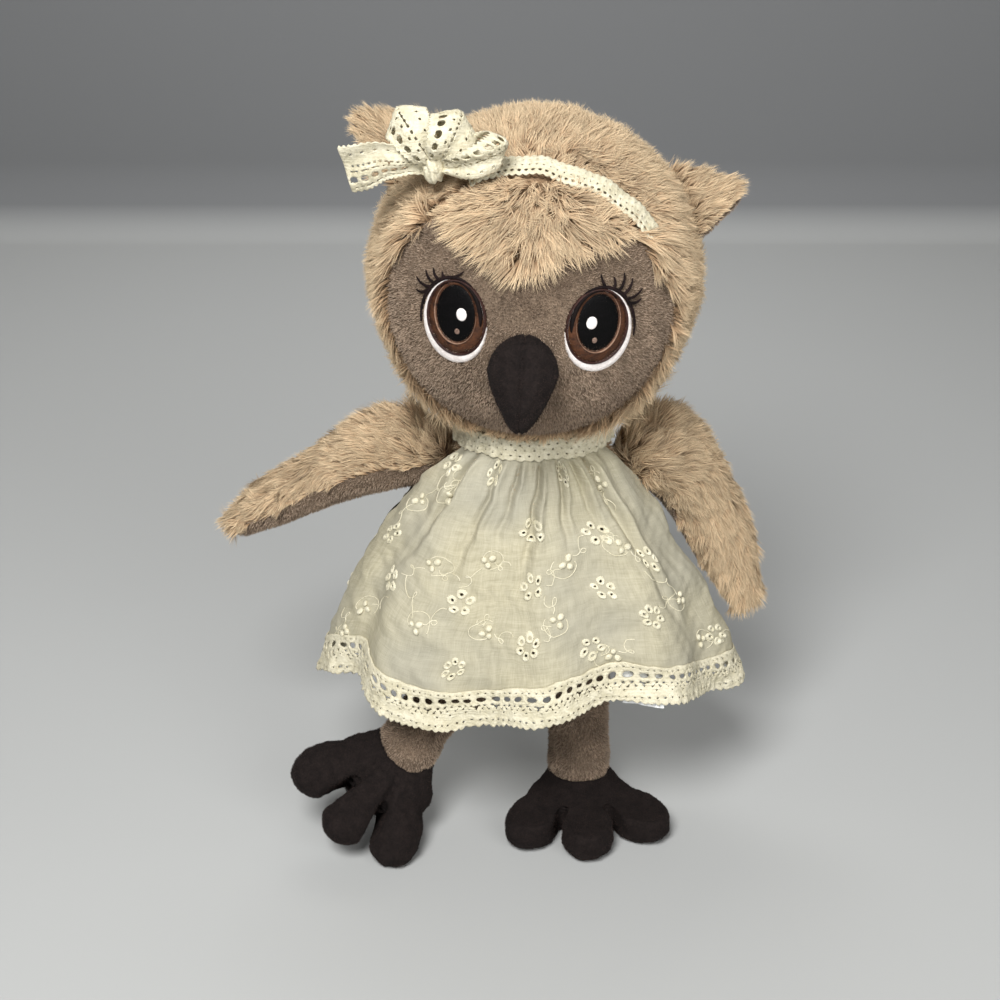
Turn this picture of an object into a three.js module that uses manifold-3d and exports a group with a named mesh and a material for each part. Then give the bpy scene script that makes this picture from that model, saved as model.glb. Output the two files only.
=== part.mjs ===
// A soft toy owl in a gathered cotton dress, standing on its feet with one wing held out.
// Millimetres, +Z up. The owl faces -Y, so its own left side is at +X.
// Places are measured from the floor under the middle of the body until the last step centres it all.

import * as THREE from 'three';
import { mergeVertices } from 'three/addons/utils/BufferGeometryUtils.js';
import Module from 'manifold-3d';

const wasm = await Module();
wasm.setup();

// Cloth and clearances
const plushThickness = 1.8;
const suedeThickness = 1.2;
const cottonThickness = 1.3;
const sewnGap = 0.3;
const jointGap = 0.3;
const overrun = 12;

// Head, a ball that leans a little to the owl's left and looks a little to its right
const headCentre = [-1, -8, 197];
const headRadii = [50.5, 49, 50.5];
const headLook = -4;
const headLean = 2.5;
const faceRadii = [49.8, 48.6, 49.8];
const faceHalfWidth = 42;
const faceHalfHeight = 41;
const faceDrop = 1.5;
const browAngle = 18;
const faceSteps = 16;
const fringeShares = [[0.94, 0.34], [0.72, 0.5], [0.47, 0.44], [0.24, 0.3], [0, 0.12]];
const nodPivotDrop = 36;
const nodPivotBack = 3;
const neckBallRadius = 15;
const neckRadius = 12.5;
const neckTopRoom = 8;

// Eyes, lashes and beak, measured on the face from the middle of the head
const stitchLift = 0.3;
const stitchThickness = 0.9;
const eyeSpacing = 41;
const eyeHalfWidth = 9.6;
const eyeHalfHeight = 12.7;
const eyeDrop = 1.8;
const irisHalfWidth = 7.6;
const irisHalfHeight = 10.6;
const irisRise = 0.4;
const pupilHalfWidth = 5.6;
const pupilHalfHeight = 8;
const pupilRise = 1.2;
const glintHalfWidth = 1.7;
const glintHalfHeight = 2.1;
const glintRise = 0.9;
const lashWidth = 1.1;
const lashShares = [[0.62, 0.78, 1.22, 0.62], [0.5, 0.86, 1.12, 0.92], [0.36, 0.93, 0.86, 1.12],
  [0.2, 0.98, 0.6, 1.22], [0.02, 1, 0.32, 1.2]];
const lidWidth = 1.8;
const lidShares = [[0.86, 0.51], [0.74, 0.67], [0.56, 0.83], [0.34, 0.94], [0.08, 1]];
const beakHalfWidth = 10.4;
const beakHeight = 29;
const beakTopDrop = 2.5;
const beakDepth = 9;
const beakOutlineShares = [[0, 0], [0.46, -0.03], [0.82, -0.14], [1, -0.33], [0.9, -0.52], [0.62, -0.76],
  [0.34, -0.94], [0, -1]];
const beakSeamGap = 0.5;
const beakLean = 16;
const beakSeat = 1.5;

// Ears: length, width and thickness of the tuft, and where each starts and points
const earLength = 29;
const earHalfWidth = 14.5;
const earThickness = 7;
const earLeftRoot = [38, 4, 21];
const earLeftTip = [68, 8, 30];
const earRightRoot = [-34, 4, 31];
const earRightTip = [-58, 8, 44];
const earFurSide = [0.15, -0.6, 0.8];
const earShares = [[-0.25, 1], [0.3, 0.86], [0.7, 0.52], [0.97, 0.2], [0.97, -0.2], [0.7, -0.52],
  [0.3, -0.86], [-0.25, -1]];

// Lace headband and bow
const bandForward = 28.6;
const bandWidth = 6;
const bandThickness = 1;
const bandEndDrop = 26;
const laceThickness = 1;
const knotCentre = [-29.3, -28.4, 39.8];
const knotRadii = [4, 5.4, 5.8];
const loopGap = 0.5;
const loopWaistShare = 0.3;
const loopSwellShare = 0.55;
const loopEndShare = 0.4;
const bowNarrowShare = 0.42;
const bowLoops = {
  bow_loop_upper: { reach: [-9, -4, 12], side: [0.75, 0.1, 0.65], width: 11, swell: 4.2 },
  bow_loop_middle: { reach: [6, -5, 12], side: [0.9, 0.2, -0.45], width: 12, swell: 4.2 },
  bow_loop_left: { reach: [21, -8, 4], side: [0.1, 0.35, -0.93], width: 9, swell: 4 },
};
const bowTailReach = [-24, -4, -2];
const bowTailSide = [0.1, -0.3, 0.95];
const bowTailWidth = 15;
const bowTailSag = 3;

// Body, a pear under the dress, with a straight rim for the neck band
const bodyCentre = [-1, -4, 0];
const bodyBottom = 56;
const bodyTop = 145.4;
const bodyRadius = 33;
const bodyDepthShare = 0.86;
const neckShare = 0.72;
const bodyShares = [[0, 0], [0.5, 0.025], [0.88, 0.15], [1, 0.33], [0.96, 0.58], [0.89, 0.78], [0.81, 0.87],
  [neckShare, 0.94], [neckShare, 0.985], [0.64, 1], [0, 1]];
const neckPocket = 14;

// Wings, long thick pads that bend a little and end in a blunt tip
const wingHalfWidth = 14;
const wingHalfThickness = 10;
const wingRootRadius = 9.2;
const wingSteps = 6;
const wingShares = [[0.66, 0.9], [0.9, 1], [1, 1], [1, 0.97], [0.95, 0.9], [0.8, 0.78], [0.46, 0.46]];
const shoulderRight = [-36, 1, 132];
const shoulderLeft = [34, 1, 132];
const wingRight = { root: shoulderRight, bend: [-68, 4, 131], tip: [-104, 6, 102],
  rootFur: [-0.3, 0.2, 0.85], tipFur: [-0.3, 0.05, 0.95] };
const wingLeft = { root: shoulderLeft, bend: [57, 25, 127], tip: [76, 17, 66],
  rootFur: [0.75, -0.45, 0.5], tipFur: [0.2, -0.9, 0.35] };

// Legs, soft tubes, and the feet with three round toes
const ankleRadius = 10.6;
const hipRadius = 9.4;
const hipLeft = [16.5, -4, 52];
const kneeLeft = [15.5, -4, 33];
const ankleLeft = [16.5, -5, 13];
const hipRight = [-19, -4, 52];
const kneeRight = [-37, -14, 46];
const ankleRight = [-44, -18, 30];
const footFlex = 15;
const legOpening = 5;
const soleThickness = 1.2;
const soleInset = 2.2;
const toeRadii = [9.8, 14.6, 8.8];
const toeReach = 26;
const toeTurnsLeft = [-36, 3, 46];
const toeTurnsRight = [-37, -2, 31];
const legLeft = { hip: hipLeft, knee: kneeLeft, ankle: ankleLeft, toeTurns: toeTurnsLeft };
const legRight = { hip: hipRight, knee: kneeRight, ankle: ankleRight, toeTurns: toeTurnsRight };
const instepRadii = [19.5, 17, 11];
const instepForward = 8;
const heelRadii = [10.5, 13, 7.8];
const heelBack = 9;
const footRightForward = [-0.528, -0.78, -0.348];
const footRightUp = [0.356, -0.575, 0.748];

// Dress: two gathered panels on a neck band, with cotton lace along the hem
const collarTop = 148.2;
const collarHeight = 6.6;
const collarThickness = 1.4;
const hemHalfWidth = 70.5;
const hemFrontDepth = 44;
const hemBackDepth = 42;
const hemHeight = 51;
const hemLiftShares = [[24, 1, 36], [-65, 0.85, 22]];
const hemLift = 13;
const laceHeight = 12.5;
const flareShares = [[0, 0], [0.05, 0.11], [0.1, 0.18], [0.2, 0.29], [0.35, 0.49], [0.55, 0.71], [0.8, 0.91],
  [1, 1]];
const armholeShareFront = 0.32;
const armholeAngleFront = 50;
const armholeShareBack = 0.5;
const armholeAngleBack = 40;
const wingPress = 10;
const wingPressShares = [[112, 1, 26]];
const wingPressFall = 0.36;
const wingPressSpread = 0.3;
const foldDepth = 3;
const foldShares = [[-62, -1.4, 9], [-42, 1.1, 12], [-14, -0.9, 9], [4, 1, 9], [22, -0.7, 9], [40, 0.9, 10],
  [62, -1, 11], [84, 0.7, 12], [112, -0.9, 12], [138, 0.9, 12], [162, -0.9, 12], [188, 1, 12],
  [214, -0.9, 12], [240, 1, 12], [268, 0.8, 12]];

// Care label, plain and blank, sewn inside the front hem
const labelAngle = 31;
const labelWidth = 12;
const labelHeight = 20;
const labelThickness = 0.6;
const labelShow = 1.5;

// How finely round shapes are divided
const headSides = 24;
const bodySides = 16;
const innerSides = 12;
const stitchSides = 16;
const beakSides = 18;
const earSides = 16;
const domeLayers = 3;
const limbSides = 10;
const limbSteps = 4;
const domeSteps = 3;
const domeStart = 0.3;
const loopSteps = 12;
const tailSteps = 5;
const toeSides = 10;
const fillingSides = 6;
const panelColumns = 20;
const panelRows = 7;
const laceColumns = 40;
const laceRows = 2;
const labelColumns = 4;
const labelRows = 3;
const slopeShare = 0.001;
const halfTurn = 180;

const at = (place) => new THREE.Vector3(...place);
const { degToRad: radians, lerp, smoothstep } = THREE.MathUtils;
const grown = (radii, extra) => radii.map((radius) => radius + extra);
const even = (radius) => [radius, radius, radius];
const largest = (solid) => solid.decompose().sort((a, b) => b.volume() - a.volume())[0];
const roomFor = (radius, sides) => (radius + jointGap) / Math.cos(Math.PI / sides) ** 2;
const joined = (solids) => solids.reduce((whole, part) => whole.add(part));

/** Turns a closed three.js geometry into a solid that can be cut and joined. */
function solidOf(geometry) {
  const bare = geometry.clone();
  bare.deleteAttribute('normal');
  bare.deleteAttribute('uv');
  const welded = mergeVertices(bare);
  const vertProperties = new Float32Array(welded.attributes.position.array);
  const triVerts = new Uint32Array(welded.index.array);
  return new wasm.Manifold(new wasm.Mesh({ numProp: 3, vertProperties, triVerts }));
}

/** Turns a solid back into a geometry. */
function geometryOf(solid) {
  const mesh = solid.getMesh();
  const geometry = new THREE.BufferGeometry();
  geometry.setAttribute('position', new THREE.BufferAttribute(mesh.vertProperties, 3));
  geometry.setIndex(new THREE.BufferAttribute(mesh.triVerts, 1));
  geometry.computeVertexNormals();
  return geometry;
}

/** An ellipsoid with its poles along Z, moved and turned by an optional matrix. */
function ball(radii, centre, sides, matrix) {
  const geometry = new THREE.SphereGeometry(1, sides, Math.round(sides / 2));
  geometry.rotateX(Math.PI / 2);
  geometry.scale(...radii);
  if (matrix) geometry.applyMatrix4(matrix);
  geometry.translate(...centre);
  return solidOf(geometry);
}

/** A block between two corners. */
function block(low, high) {
  const size = high.map((value, index) => value - low[index]);
  const geometry = new THREE.BoxGeometry(...size);
  geometry.translate(...low.map((value, index) => value + size[index] / 2));
  return solidOf(geometry);
}

/** A solid turned about Z from shares of a radius and a height. */
function turned(shares, radius, bottom, height, sides, depthShare) {
  const profile = shares.map(([r, z]) => new THREE.Vector2(r * radius, bottom + z * height));
  const geometry = new THREE.LatheGeometry(profile, sides);
  geometry.rotateX(Math.PI / 2);
  geometry.scale(1, depthShare, 1);
  return geometry;
}

/** Joins rings of points into one closed skin, with a fan over each end. */
function loft(rings) {
  const positions = [];
  const index = [];
  const count = rings[0].length;
  for (const ring of rings) for (const point of ring) positions.push(...point.toArray());
  for (let i = 0; i + 1 < rings.length; i += 1) {
    for (let j = 0; j < count; j += 1) {
      const a = i * count + j;
      const b = i * count + ((j + 1) % count);
      index.push(a, b, b + count, a, b + count, a + count);
    }
  }
  const last = (rings.length - 1) * count;
  for (const [start, turn] of [[0, -1], [last, 1]]) {
    const middle = new THREE.Vector3();
    for (const point of rings[start / count]) middle.addScaledVector(point, 1 / count);
    const hub = positions.length / 3;
    positions.push(...middle.toArray());
    for (let j = 0; j < count; j += 1) {
      const pair = [start + j, start + ((j + 1) % count)];
      index.push(hub, ...(turn > 0 ? pair : pair.reverse()));
    }
  }
  const geometry = new THREE.BufferGeometry();
  geometry.setAttribute('position', new THREE.Float32BufferAttribute(positions, 3));
  geometry.setIndex(index);
  return geometry;
}

/** One oval ring of points around a centre, in the plane of two directions. */
function ovalRing(centre, across, above, halfWidth, halfHeight, sides) {
  return Array.from({ length: sides }, (_, i) => {
    const angle = (2 * Math.PI * i) / sides;
    return centre.clone()
      .addScaledVector(across, halfWidth * Math.cos(angle))
      .addScaledVector(above, halfHeight * Math.sin(angle));
  });
}

/** A closed sheet from a function of two shares, with half its thickness on each side. */
function sheet(pointAt, columns, rows, thickness, closed = false) {
  const skin = (column, row, side) => {
    const u = column / columns;
    const v = row / rows;
    const along = pointAt(u + slopeShare, v).sub(pointAt(u - slopeShare, v));
    const down = pointAt(u, v + slopeShare).sub(pointAt(u, v - slopeShare));
    const normal = along.cross(down).normalize();
    return pointAt(u, v).addScaledVector(normal, (side * thickness) / 2);
  };
  const section = (column) => {
    const points = [];
    for (let row = 0; row <= rows; row += 1) points.push(skin(column, row, 1));
    for (let row = rows; row >= 0; row -= 1) points.push(skin(column, row, -1));
    return points;
  };
  const sections = Array.from({ length: closed ? columns : columns + 1 }, (_, column) => section(column));
  const count = sections[0].length;
  const positions = sections.flat().flatMap((point) => point.toArray());
  const index = [];
  for (let i = 0; i < columns; i += 1) {
    const start = i * count;
    const next = ((i + 1) % sections.length) * count;
    for (let j = 0; j < count; j += 1) {
      const k = (j + 1) % count;
      index.push(start + j, next + j, next + k, start + j, next + k, start + k);
    }
  }
  if (!closed) {
    for (const [start, turn] of [[0, 1], [columns * count, -1]]) {
      for (let row = 0; row < rows; row += 1) {
        const corners = [start + row, start + row + 1, start + count - 2 - row, start + count - 1 - row];
        if (turn < 0) corners.reverse();
        index.push(corners[0], corners[1], corners[2], corners[0], corners[2], corners[3]);
      }
    }
  }
  const geometry = new THREE.BufferGeometry();
  geometry.setAttribute('position', new THREE.Float32BufferAttribute(positions, 3));
  geometry.setIndex(index);
  return geometry;
}

/** A prism along Y of an outline given in x and z. */
function prism(outline, near, far) {
  const shape = new THREE.Shape(outline.map(([x, z]) => new THREE.Vector2(x, z)));
  const geometry = new THREE.ExtrudeGeometry(shape, { depth: far - near, bevelEnabled: false });
  geometry.rotateX(Math.PI / 2);
  geometry.translate(0, far, 0);
  return solidOf(geometry);
}

/** The oval outline of a stitched shape on the face. */
function oval(centreX, centreZ, halfWidth, halfHeight, sides) {
  return Array.from({ length: sides }, (_, i) => {
    const angle = (2 * Math.PI * i) / sides;
    return [centreX + halfWidth * Math.cos(angle), centreZ + halfHeight * Math.sin(angle)];
  });
}

/** A smooth closed outline through a few points. */
function smoothOutline(points, count) {
  const curve = new THREE.CatmullRomCurve3(points.map(([x, z]) => new THREE.Vector3(x, 0, z)), true);
  return curve.getPoints(count).slice(0, count).map((point) => [point.x, point.z]);
}

/** A pad with a given outline, domed on both sides, in its own x and y. */
function pad(outline, topRise, bottomRise, rings) {
  const points = outline.map(([x, y]) => new THREE.Vector2(x, y));
  if (THREE.ShapeUtils.isClockWise(points)) points.reverse();
  const middle = new THREE.Vector2();
  for (const point of points) middle.addScaledVector(point, 1 / points.length);
  const layer = (share, rise) => points.map((point) => {
    const place = middle.clone().lerp(point, share);
    return new THREE.Vector3(place.x, place.y, rise * Math.sqrt(1 - share * share));
  });
  const layers = [];
  const shareOf = (i) => Math.sin((i * Math.PI) / (2 * rings));
  for (let i = 1; i <= rings; i += 1) layers.push(layer(shareOf(i), -bottomRise));
  for (let i = rings - 1; i >= 1; i -= 1) layers.push(layer(shareOf(i), topRise));
  return loft(layers);
}

/** A turn that lays x along one direction, with z as near to a second one as it can be. */
function frameAlong(direction, nearly) {
  const along = direction.clone().normalize();
  const across = new THREE.Vector3().crossVectors(nearly, along).normalize();
  const above = new THREE.Vector3().crossVectors(along, across);
  return new THREE.Matrix4().makeBasis(along, across, above);
}

const finishes = {
  fur: { color: 0xc8a98a, roughness: 1 },
  plush: { color: 0x7a6a5f, roughness: 1 },
  suede: { color: 0x2f2624, roughness: 0.9 },
  cotton: { color: 0xece4ca, roughness: 0.9 },
  lace: { color: 0xf1ebd8, roughness: 0.95 },
  filling: { color: 0xf4f4f2, roughness: 1 },
  eyeWhite: { color: 0xe9e4de, roughness: 0.5 },
  eyeBrown: { color: 0x7d4420, roughness: 0.45 },
  eyeBlack: { color: 0x120e0f, roughness: 0.4 },
  lash: { color: 0x2b1a22, roughness: 0.5 },
  label: { color: 0xf7f6f2, roughness: 0.6 },
};

/** A named mesh in one of the owl's finishes. */
function piece(name, shape, finish) {
  const geometry = shape.isBufferGeometry ? shape : geometryOf(shape);
  const material = new THREE.MeshStandardMaterial({ ...finishes[finish], metalness: 0 });
  const mesh = new THREE.Mesh(geometry, material);
  mesh.name = name;
  return mesh;
}

const owl = new THREE.Group();

/** A ribbon of one thickness along a path, whose width follows one direction. */
function ribbon(path, widthAt, direction, thickness, steps) {
  const rings = [];
  for (let i = 0; i <= steps; i += 1) {
    const share = i / steps;
    const along = path.getTangent(share);
    const flat = new THREE.Vector3().crossVectors(along, direction).normalize();
    const wide = flat.clone().cross(along).normalize().multiplyScalar(widthAt(share) / 2);
    const thick = flat.multiplyScalar(thickness / 2);
    const middle = path.getPoint(share);
    rings.push([[1, 1], [-1, 1], [-1, -1], [1, -1]].map(([w, t]) => middle.clone()
      .addScaledVector(wide, w).addScaledVector(thick, t)));
  }
  return loft(rings);
}

/** The lace headband over the crown and the bow that is tied on it. */
function makeTrim(headBall) {
  const reach = headRadii[0] + overrun;
  const strip = block([-reach, -bandForward - bandWidth / 2, bandEndDrop],
    [reach, -bandForward + bandWidth / 2, reach]);
  const outside = ball(grown(headRadii, sewnGap + bandThickness), [0, 0, 0], headSides);
  const band = outside.subtract(headBall).intersect(strip);
  const over = ball(grown(headRadii, sewnGap * 2 + bandThickness), [0, 0, 0], headSides);
  const knot = ball(knotRadii, knotCentre, limbSides).subtract(over);
  const clear = ball(grown(knotRadii, loopGap), knotCentre, limbSides).add(over);
  const parts = [piece('headband', band, 'lace'), piece('bow_knot', knot, 'lace')];
  const start = at(knotCentre);
  const loop = ({ reach: to, side, width, swell }, gap) => {
    const end = start.clone().add(at(to));
    const puff = new THREE.Vector3().crossVectors(at(to), at(side)).normalize().multiplyScalar(swell);
    const path = new THREE.CatmullRomCurve3([
      start.clone().addScaledVector(puff, loopWaistShare),
      start.clone().lerp(end, loopSwellShare).add(puff),
      end.clone().addScaledVector(puff, loopEndShare),
      end.clone().addScaledVector(puff, -loopEndShare),
      start.clone().lerp(end, loopSwellShare).sub(puff),
      start.clone().addScaledVector(puff, -loopWaistShare)]);
    const widthAt = (share) => width * lerp(bowNarrowShare, 1, Math.sin(Math.PI * share)) + gap;
    return solidOf(ribbon(path, widthAt, at(side).normalize(), laceThickness + gap, loopSteps));
  };
  const tail = (gap) => {
    const end = start.clone().add(at(bowTailReach));
    const bend = start.clone().add(end).divideScalar(2).add(new THREE.Vector3(0, -bowTailSag, bowTailSag));
    const path = new THREE.QuadraticBezierCurve3(start, bend, end);
    const widthAt = (share) => bowTailWidth * lerp(bowNarrowShare, 1, share) + gap;
    return solidOf(ribbon(path, widthAt, at(bowTailSide).normalize(), laceThickness + gap, tailSteps));
  };
  parts.push(piece('bow_tail', tail(0).subtract(clear), 'lace'));
  let taken = clear.add(tail(loopGap * 2));
  for (const [name, shape] of Object.entries(bowLoops)) {
    parts.push(piece(name, loop(shape, 0).subtract(taken), 'lace'));
    taken = taken.add(loop(shape, loopGap * 2));
  }
  return parts;
}

/** The head: fur cover, face, filling, eyes, beak, ears, headband and bow, in the head's own frame. */
function makeHead() {
  const head = new THREE.Group();
  head.position.copy(at(headCentre));
  head.rotation.set(0, radians(headLean), radians(headLook), 'ZYX');
  const middle = [0, 0, 0];
  const inner = grown(headRadii, -plushThickness);
  const toHead = new THREE.Matrix4().makeRotationFromEuler(head.rotation).invert();
  const pivot = new THREE.Vector3(0, nodPivotBack, -nodPivotDrop).applyMatrix4(toHead).toArray();
  const narrow = roomFor(neckRadius, innerSides);
  const flared = new THREE.CylinderGeometry(narrow, narrow + neckTopRoom, nodPivotDrop, innerSides);
  flared.rotateX(Math.PI / 2).translate(pivot[0], pivot[1], pivot[2] - nodPivotDrop / 2);
  const socket = ball(even(roomFor(neckBallRadius, innerSides)), pivot, innerSides).add(solidOf(flared));

  const faceOutline = (inset) => {
    const width = faceHalfWidth - inset;
    const points = [];
    for (let i = 0; i <= faceSteps; i += 1) {
      const angle = radians(halfTurn + browAngle + ((halfTurn - 2 * browAngle) * i) / faceSteps);
      points.push([width * Math.cos(angle), (faceHalfHeight - inset) * Math.sin(angle) - faceDrop]);
    }
    const browPoints = fringeShares.map(([x, z]) => [x * width, z * faceHalfHeight - inset]);
    points.push(...browPoints, ...browPoints.slice(0, -1).reverse().map(([x, z]) => [-x, z]));
    return points;
  };
  const front = -(faceRadii[1] + overrun);
  const faceHole = prism(faceOutline(0), front, 0);
  const cover = ball(headRadii, middle, headSides).subtract(ball(inner, middle, bodySides))
    .subtract(faceHole).subtract(socket);
  head.add(piece('head_cover', cover, 'fur'));

  const faceInside = ball(grown(faceRadii, -plushThickness), middle, headSides);
  const faceShell = ball(faceRadii, middle, headSides).subtract(faceInside);
  head.add(piece('face_panel', faceShell.intersect(prism(faceOutline(sewnGap), front, 0)), 'plush'));

  const fillingRadii = grown(faceRadii, -plushThickness - sewnGap * 4);
  head.add(piece('head_filling', ball(fillingRadii, middle, bodySides).subtract(socket), 'filling'));

  const stitched = ball(grown(faceRadii, stitchLift + stitchThickness), middle, headSides)
    .subtract(ball(grown(faceRadii, stitchLift), middle, headSides));
  const reach = headRadii[2] + overrun;
  const thread = stitched.intersect(block([-reach, front, -reach], [reach, 0, reach]));
  for (const [name, side] of [['left', 1], ['right', -1]]) {
    const eyeX = (side * eyeSpacing) / 2;
    const ring = (halfWidth, halfHeight, rise, extra) => prism(
      oval(eyeX, rise - eyeDrop, halfWidth + extra, halfHeight + extra, stitchSides), front, 0);
    const white = ring(eyeHalfWidth, eyeHalfHeight, 0, 0)
      .subtract(ring(irisHalfWidth, irisHalfHeight, irisRise, sewnGap));
    const iris = ring(irisHalfWidth, irisHalfHeight, irisRise, 0)
      .subtract(ring(pupilHalfWidth, pupilHalfHeight, pupilRise, sewnGap));
    const glintHole = ring(glintHalfWidth, glintHalfHeight, pupilRise + glintRise, sewnGap);
    const pupil = ring(pupilHalfWidth, pupilHalfHeight, pupilRise, 0).subtract(glintHole);
    const glint = ring(glintHalfWidth, glintHalfHeight, pupilRise + glintRise, 0);
    head.add(piece(`eye_${name}_white`, thread.intersect(white), 'eyeWhite'));
    head.add(piece(`eye_${name}_iris`, thread.intersect(iris), 'eyeBrown'));
    head.add(piece(`eye_${name}_pupil`, thread.intersect(pupil), 'eyeBlack'));
    head.add(piece(`eye_${name}_glint`, thread.intersect(glint), 'eyeWhite'));

    const onEye = (x, z) => new THREE.Vector2(
      eyeX + side * x * (eyeHalfWidth + lashWidth), z * (eyeHalfHeight + lashWidth) - eyeDrop);
    const stroke = (from, to, width) => {
      const run = to.clone().sub(from).setLength(width / 2);
      const beside = new THREE.Vector2(-run.y, run.x);
      const corners = [from.clone().sub(run).add(beside), to.clone().addScaledVector(beside, 1 / 2),
        to.clone().addScaledVector(beside, -1 / 2), from.clone().sub(run).sub(beside)];
      return prism(corners.map((corner) => corner.toArray()), front, 0);
    };
    const strokes = lashShares.map(([x, z, tipX, tipZ]) => stroke(onEye(x, z), onEye(tipX, tipZ), lashWidth));
    const lidPlaces = lidShares.map((place) => onEye(...place));
    const lid = lidPlaces.slice(1).map((place, i) => stroke(lidPlaces[i], place, lidWidth));
    const lashes = joined([...strokes, ...lid]).subtract(ring(eyeHalfWidth, eyeHalfHeight, 0, sewnGap));
    head.add(piece(`lashes_${name}`, thread.intersect(lashes), 'lash'));
  }

  const beakHalf = beakOutlineShares.map(([x, z]) => [x * beakHalfWidth, z * beakHeight]);
  const otherHalf = beakHalf.slice(1, -1).reverse().map(([x, z]) => [-x, z]);
  const beakOutline = smoothOutline([...beakHalf, ...otherHalf], beakSides);
  const beakSolid = (inset) => {
    const share = 1 - inset / beakHalfWidth;
    const outline = beakOutline.map(([x, z]) => [x * share, (z + beakHeight / 2) * share - beakHeight / 2]);
    const puffed = pad(outline, beakDepth - inset, beakDepth, domeLayers);
    puffed.rotateX(Math.PI / 2);
    puffed.rotateX(radians(-beakLean));
    puffed.translate(0, -faceRadii[1] - beakSeat, -beakTopDrop);
    return solidOf(puffed);
  };
  const faceBall = ball(grown(faceRadii, sewnGap), middle, headSides);
  const beakShell = beakSolid(0).subtract(faceBall).subtract(beakSolid(suedeThickness));
  const beakHalves = [['left', beakSeamGap / 2, reach], ['right', -reach, -beakSeamGap / 2]];
  for (const [name, from, to] of beakHalves) {
    const half = block([from, -reach * 2, -reach], [to, 0, reach]);
    head.add(piece(`beak_${name}`, largest(beakShell.intersect(half)), 'suede'));
  }
  const behind = ball(grown(faceRadii, sewnGap * 2), middle, headSides);
  head.add(piece('beak_filling', beakSolid(suedeThickness + sewnGap).subtract(behind), 'filling'));

  const headBall = ball(grown(headRadii, sewnGap), middle, headSides);
  for (const [name, root, tip] of [['left', earLeftRoot, earLeftTip], ['right', earRightRoot, earRightTip]]) {
    const frame = frameAlong(at(tip).sub(at(root)), at(earFurSide));
    const outline = smoothOutline(earShares.map(([x, y]) => [x * earLength, y * earHalfWidth]), earSides);
    const padded = pad(outline, earThickness / 2, earThickness / 2, domeLayers).applyMatrix4(frame);
    const tuft = solidOf(padded.translate(...root)).subtract(headBall);
    const side = (turn) => solidOf(new THREE.BoxGeometry(reach, reach, reach)
      .translate(0, 0, (turn * (reach + sewnGap)) / 2).applyMatrix4(frame).translate(...root));
    head.add(piece(`ear_${name}_fur`, tuft.intersect(side(1)), 'fur'));
    head.add(piece(`ear_${name}_lining`, tuft.intersect(side(-1)), 'plush'));
  }
  for (const part of makeTrim(headBall)) head.add(part);
  return head;
}

/** Where the head nods and turns: the middle of the ball on the neck. */
const nodPivot = () => at(headCentre).add(new THREE.Vector3(0, nodPivotBack, -nodPivotDrop));

/** The neck filling: a ball in the head, on a post that turns in the body's pocket. */
function makeNeck() {
  const pivot = nodPivot();
  const bottom = bodyTop - neckPocket + sewnGap;
  const post = new THREE.CylinderGeometry(neckRadius, neckRadius, pivot.z - bottom, innerSides);
  post.rotateX(Math.PI / 2).translate(pivot.x, pivot.y, (pivot.z + bottom) / 2);
  const neckBall = ball(even(neckBallRadius), pivot.toArray(), innerSides);
  return piece('neck_filling', solidOf(post).add(neckBall), 'filling');
}

/** The body cover and its filling, with sockets for the neck, the wings and the legs. */
function makeBody() {
  const pivot = nodPivot();
  const pocketDepth = neckPocket + overrun;
  const pocketRadius = roomFor(neckRadius, innerSides);
  const pocket = new THREE.CylinderGeometry(pocketRadius, pocketRadius, pocketDepth, innerSides);
  pocket.rotateX(Math.PI / 2).translate(pivot.x, pivot.y, bodyTop - neckPocket + pocketDepth / 2);
  const cutters = [solidOf(pocket)];
  const shoulderRoom = roomFor(wingRootRadius, innerSides);
  const hipRoom = roomFor(hipRadius, innerSides);
  cutters.push(...[shoulderLeft, shoulderRight].map((place) => ball(even(shoulderRoom), place, innerSides)));
  for (const place of [hipLeft, hipRight]) {
    const [x, y, z] = place;
    cutters.push(ball(even(hipRoom), place, innerSides));
    cutters.push(block([x - hipRoom, y - bodyRadius * 2, 0], [x + hipRoom, y, z + hipRoom]));
  }
  const cut = joined(cutters);
  const height = bodyTop - bodyBottom;
  const pear = (inset, sides) => {
    const [radius, bottom] = [bodyRadius - inset, bodyBottom + inset];
    const shape = turned(bodyShares, radius, bottom, height - 2 * inset, sides, bodyDepthShare);
    return solidOf(shape.translate(...bodyCentre));
  };
  const cover = pear(0, bodySides).subtract(pear(plushThickness, bodySides)).subtract(cut);
  const parts = new THREE.Group();
  parts.add(piece('body_cover', cover, 'fur'));
  parts.add(piece('body_filling', pear(plushThickness + sewnGap, bodySides).subtract(cut), 'filling'));
  return parts;
}

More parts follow.
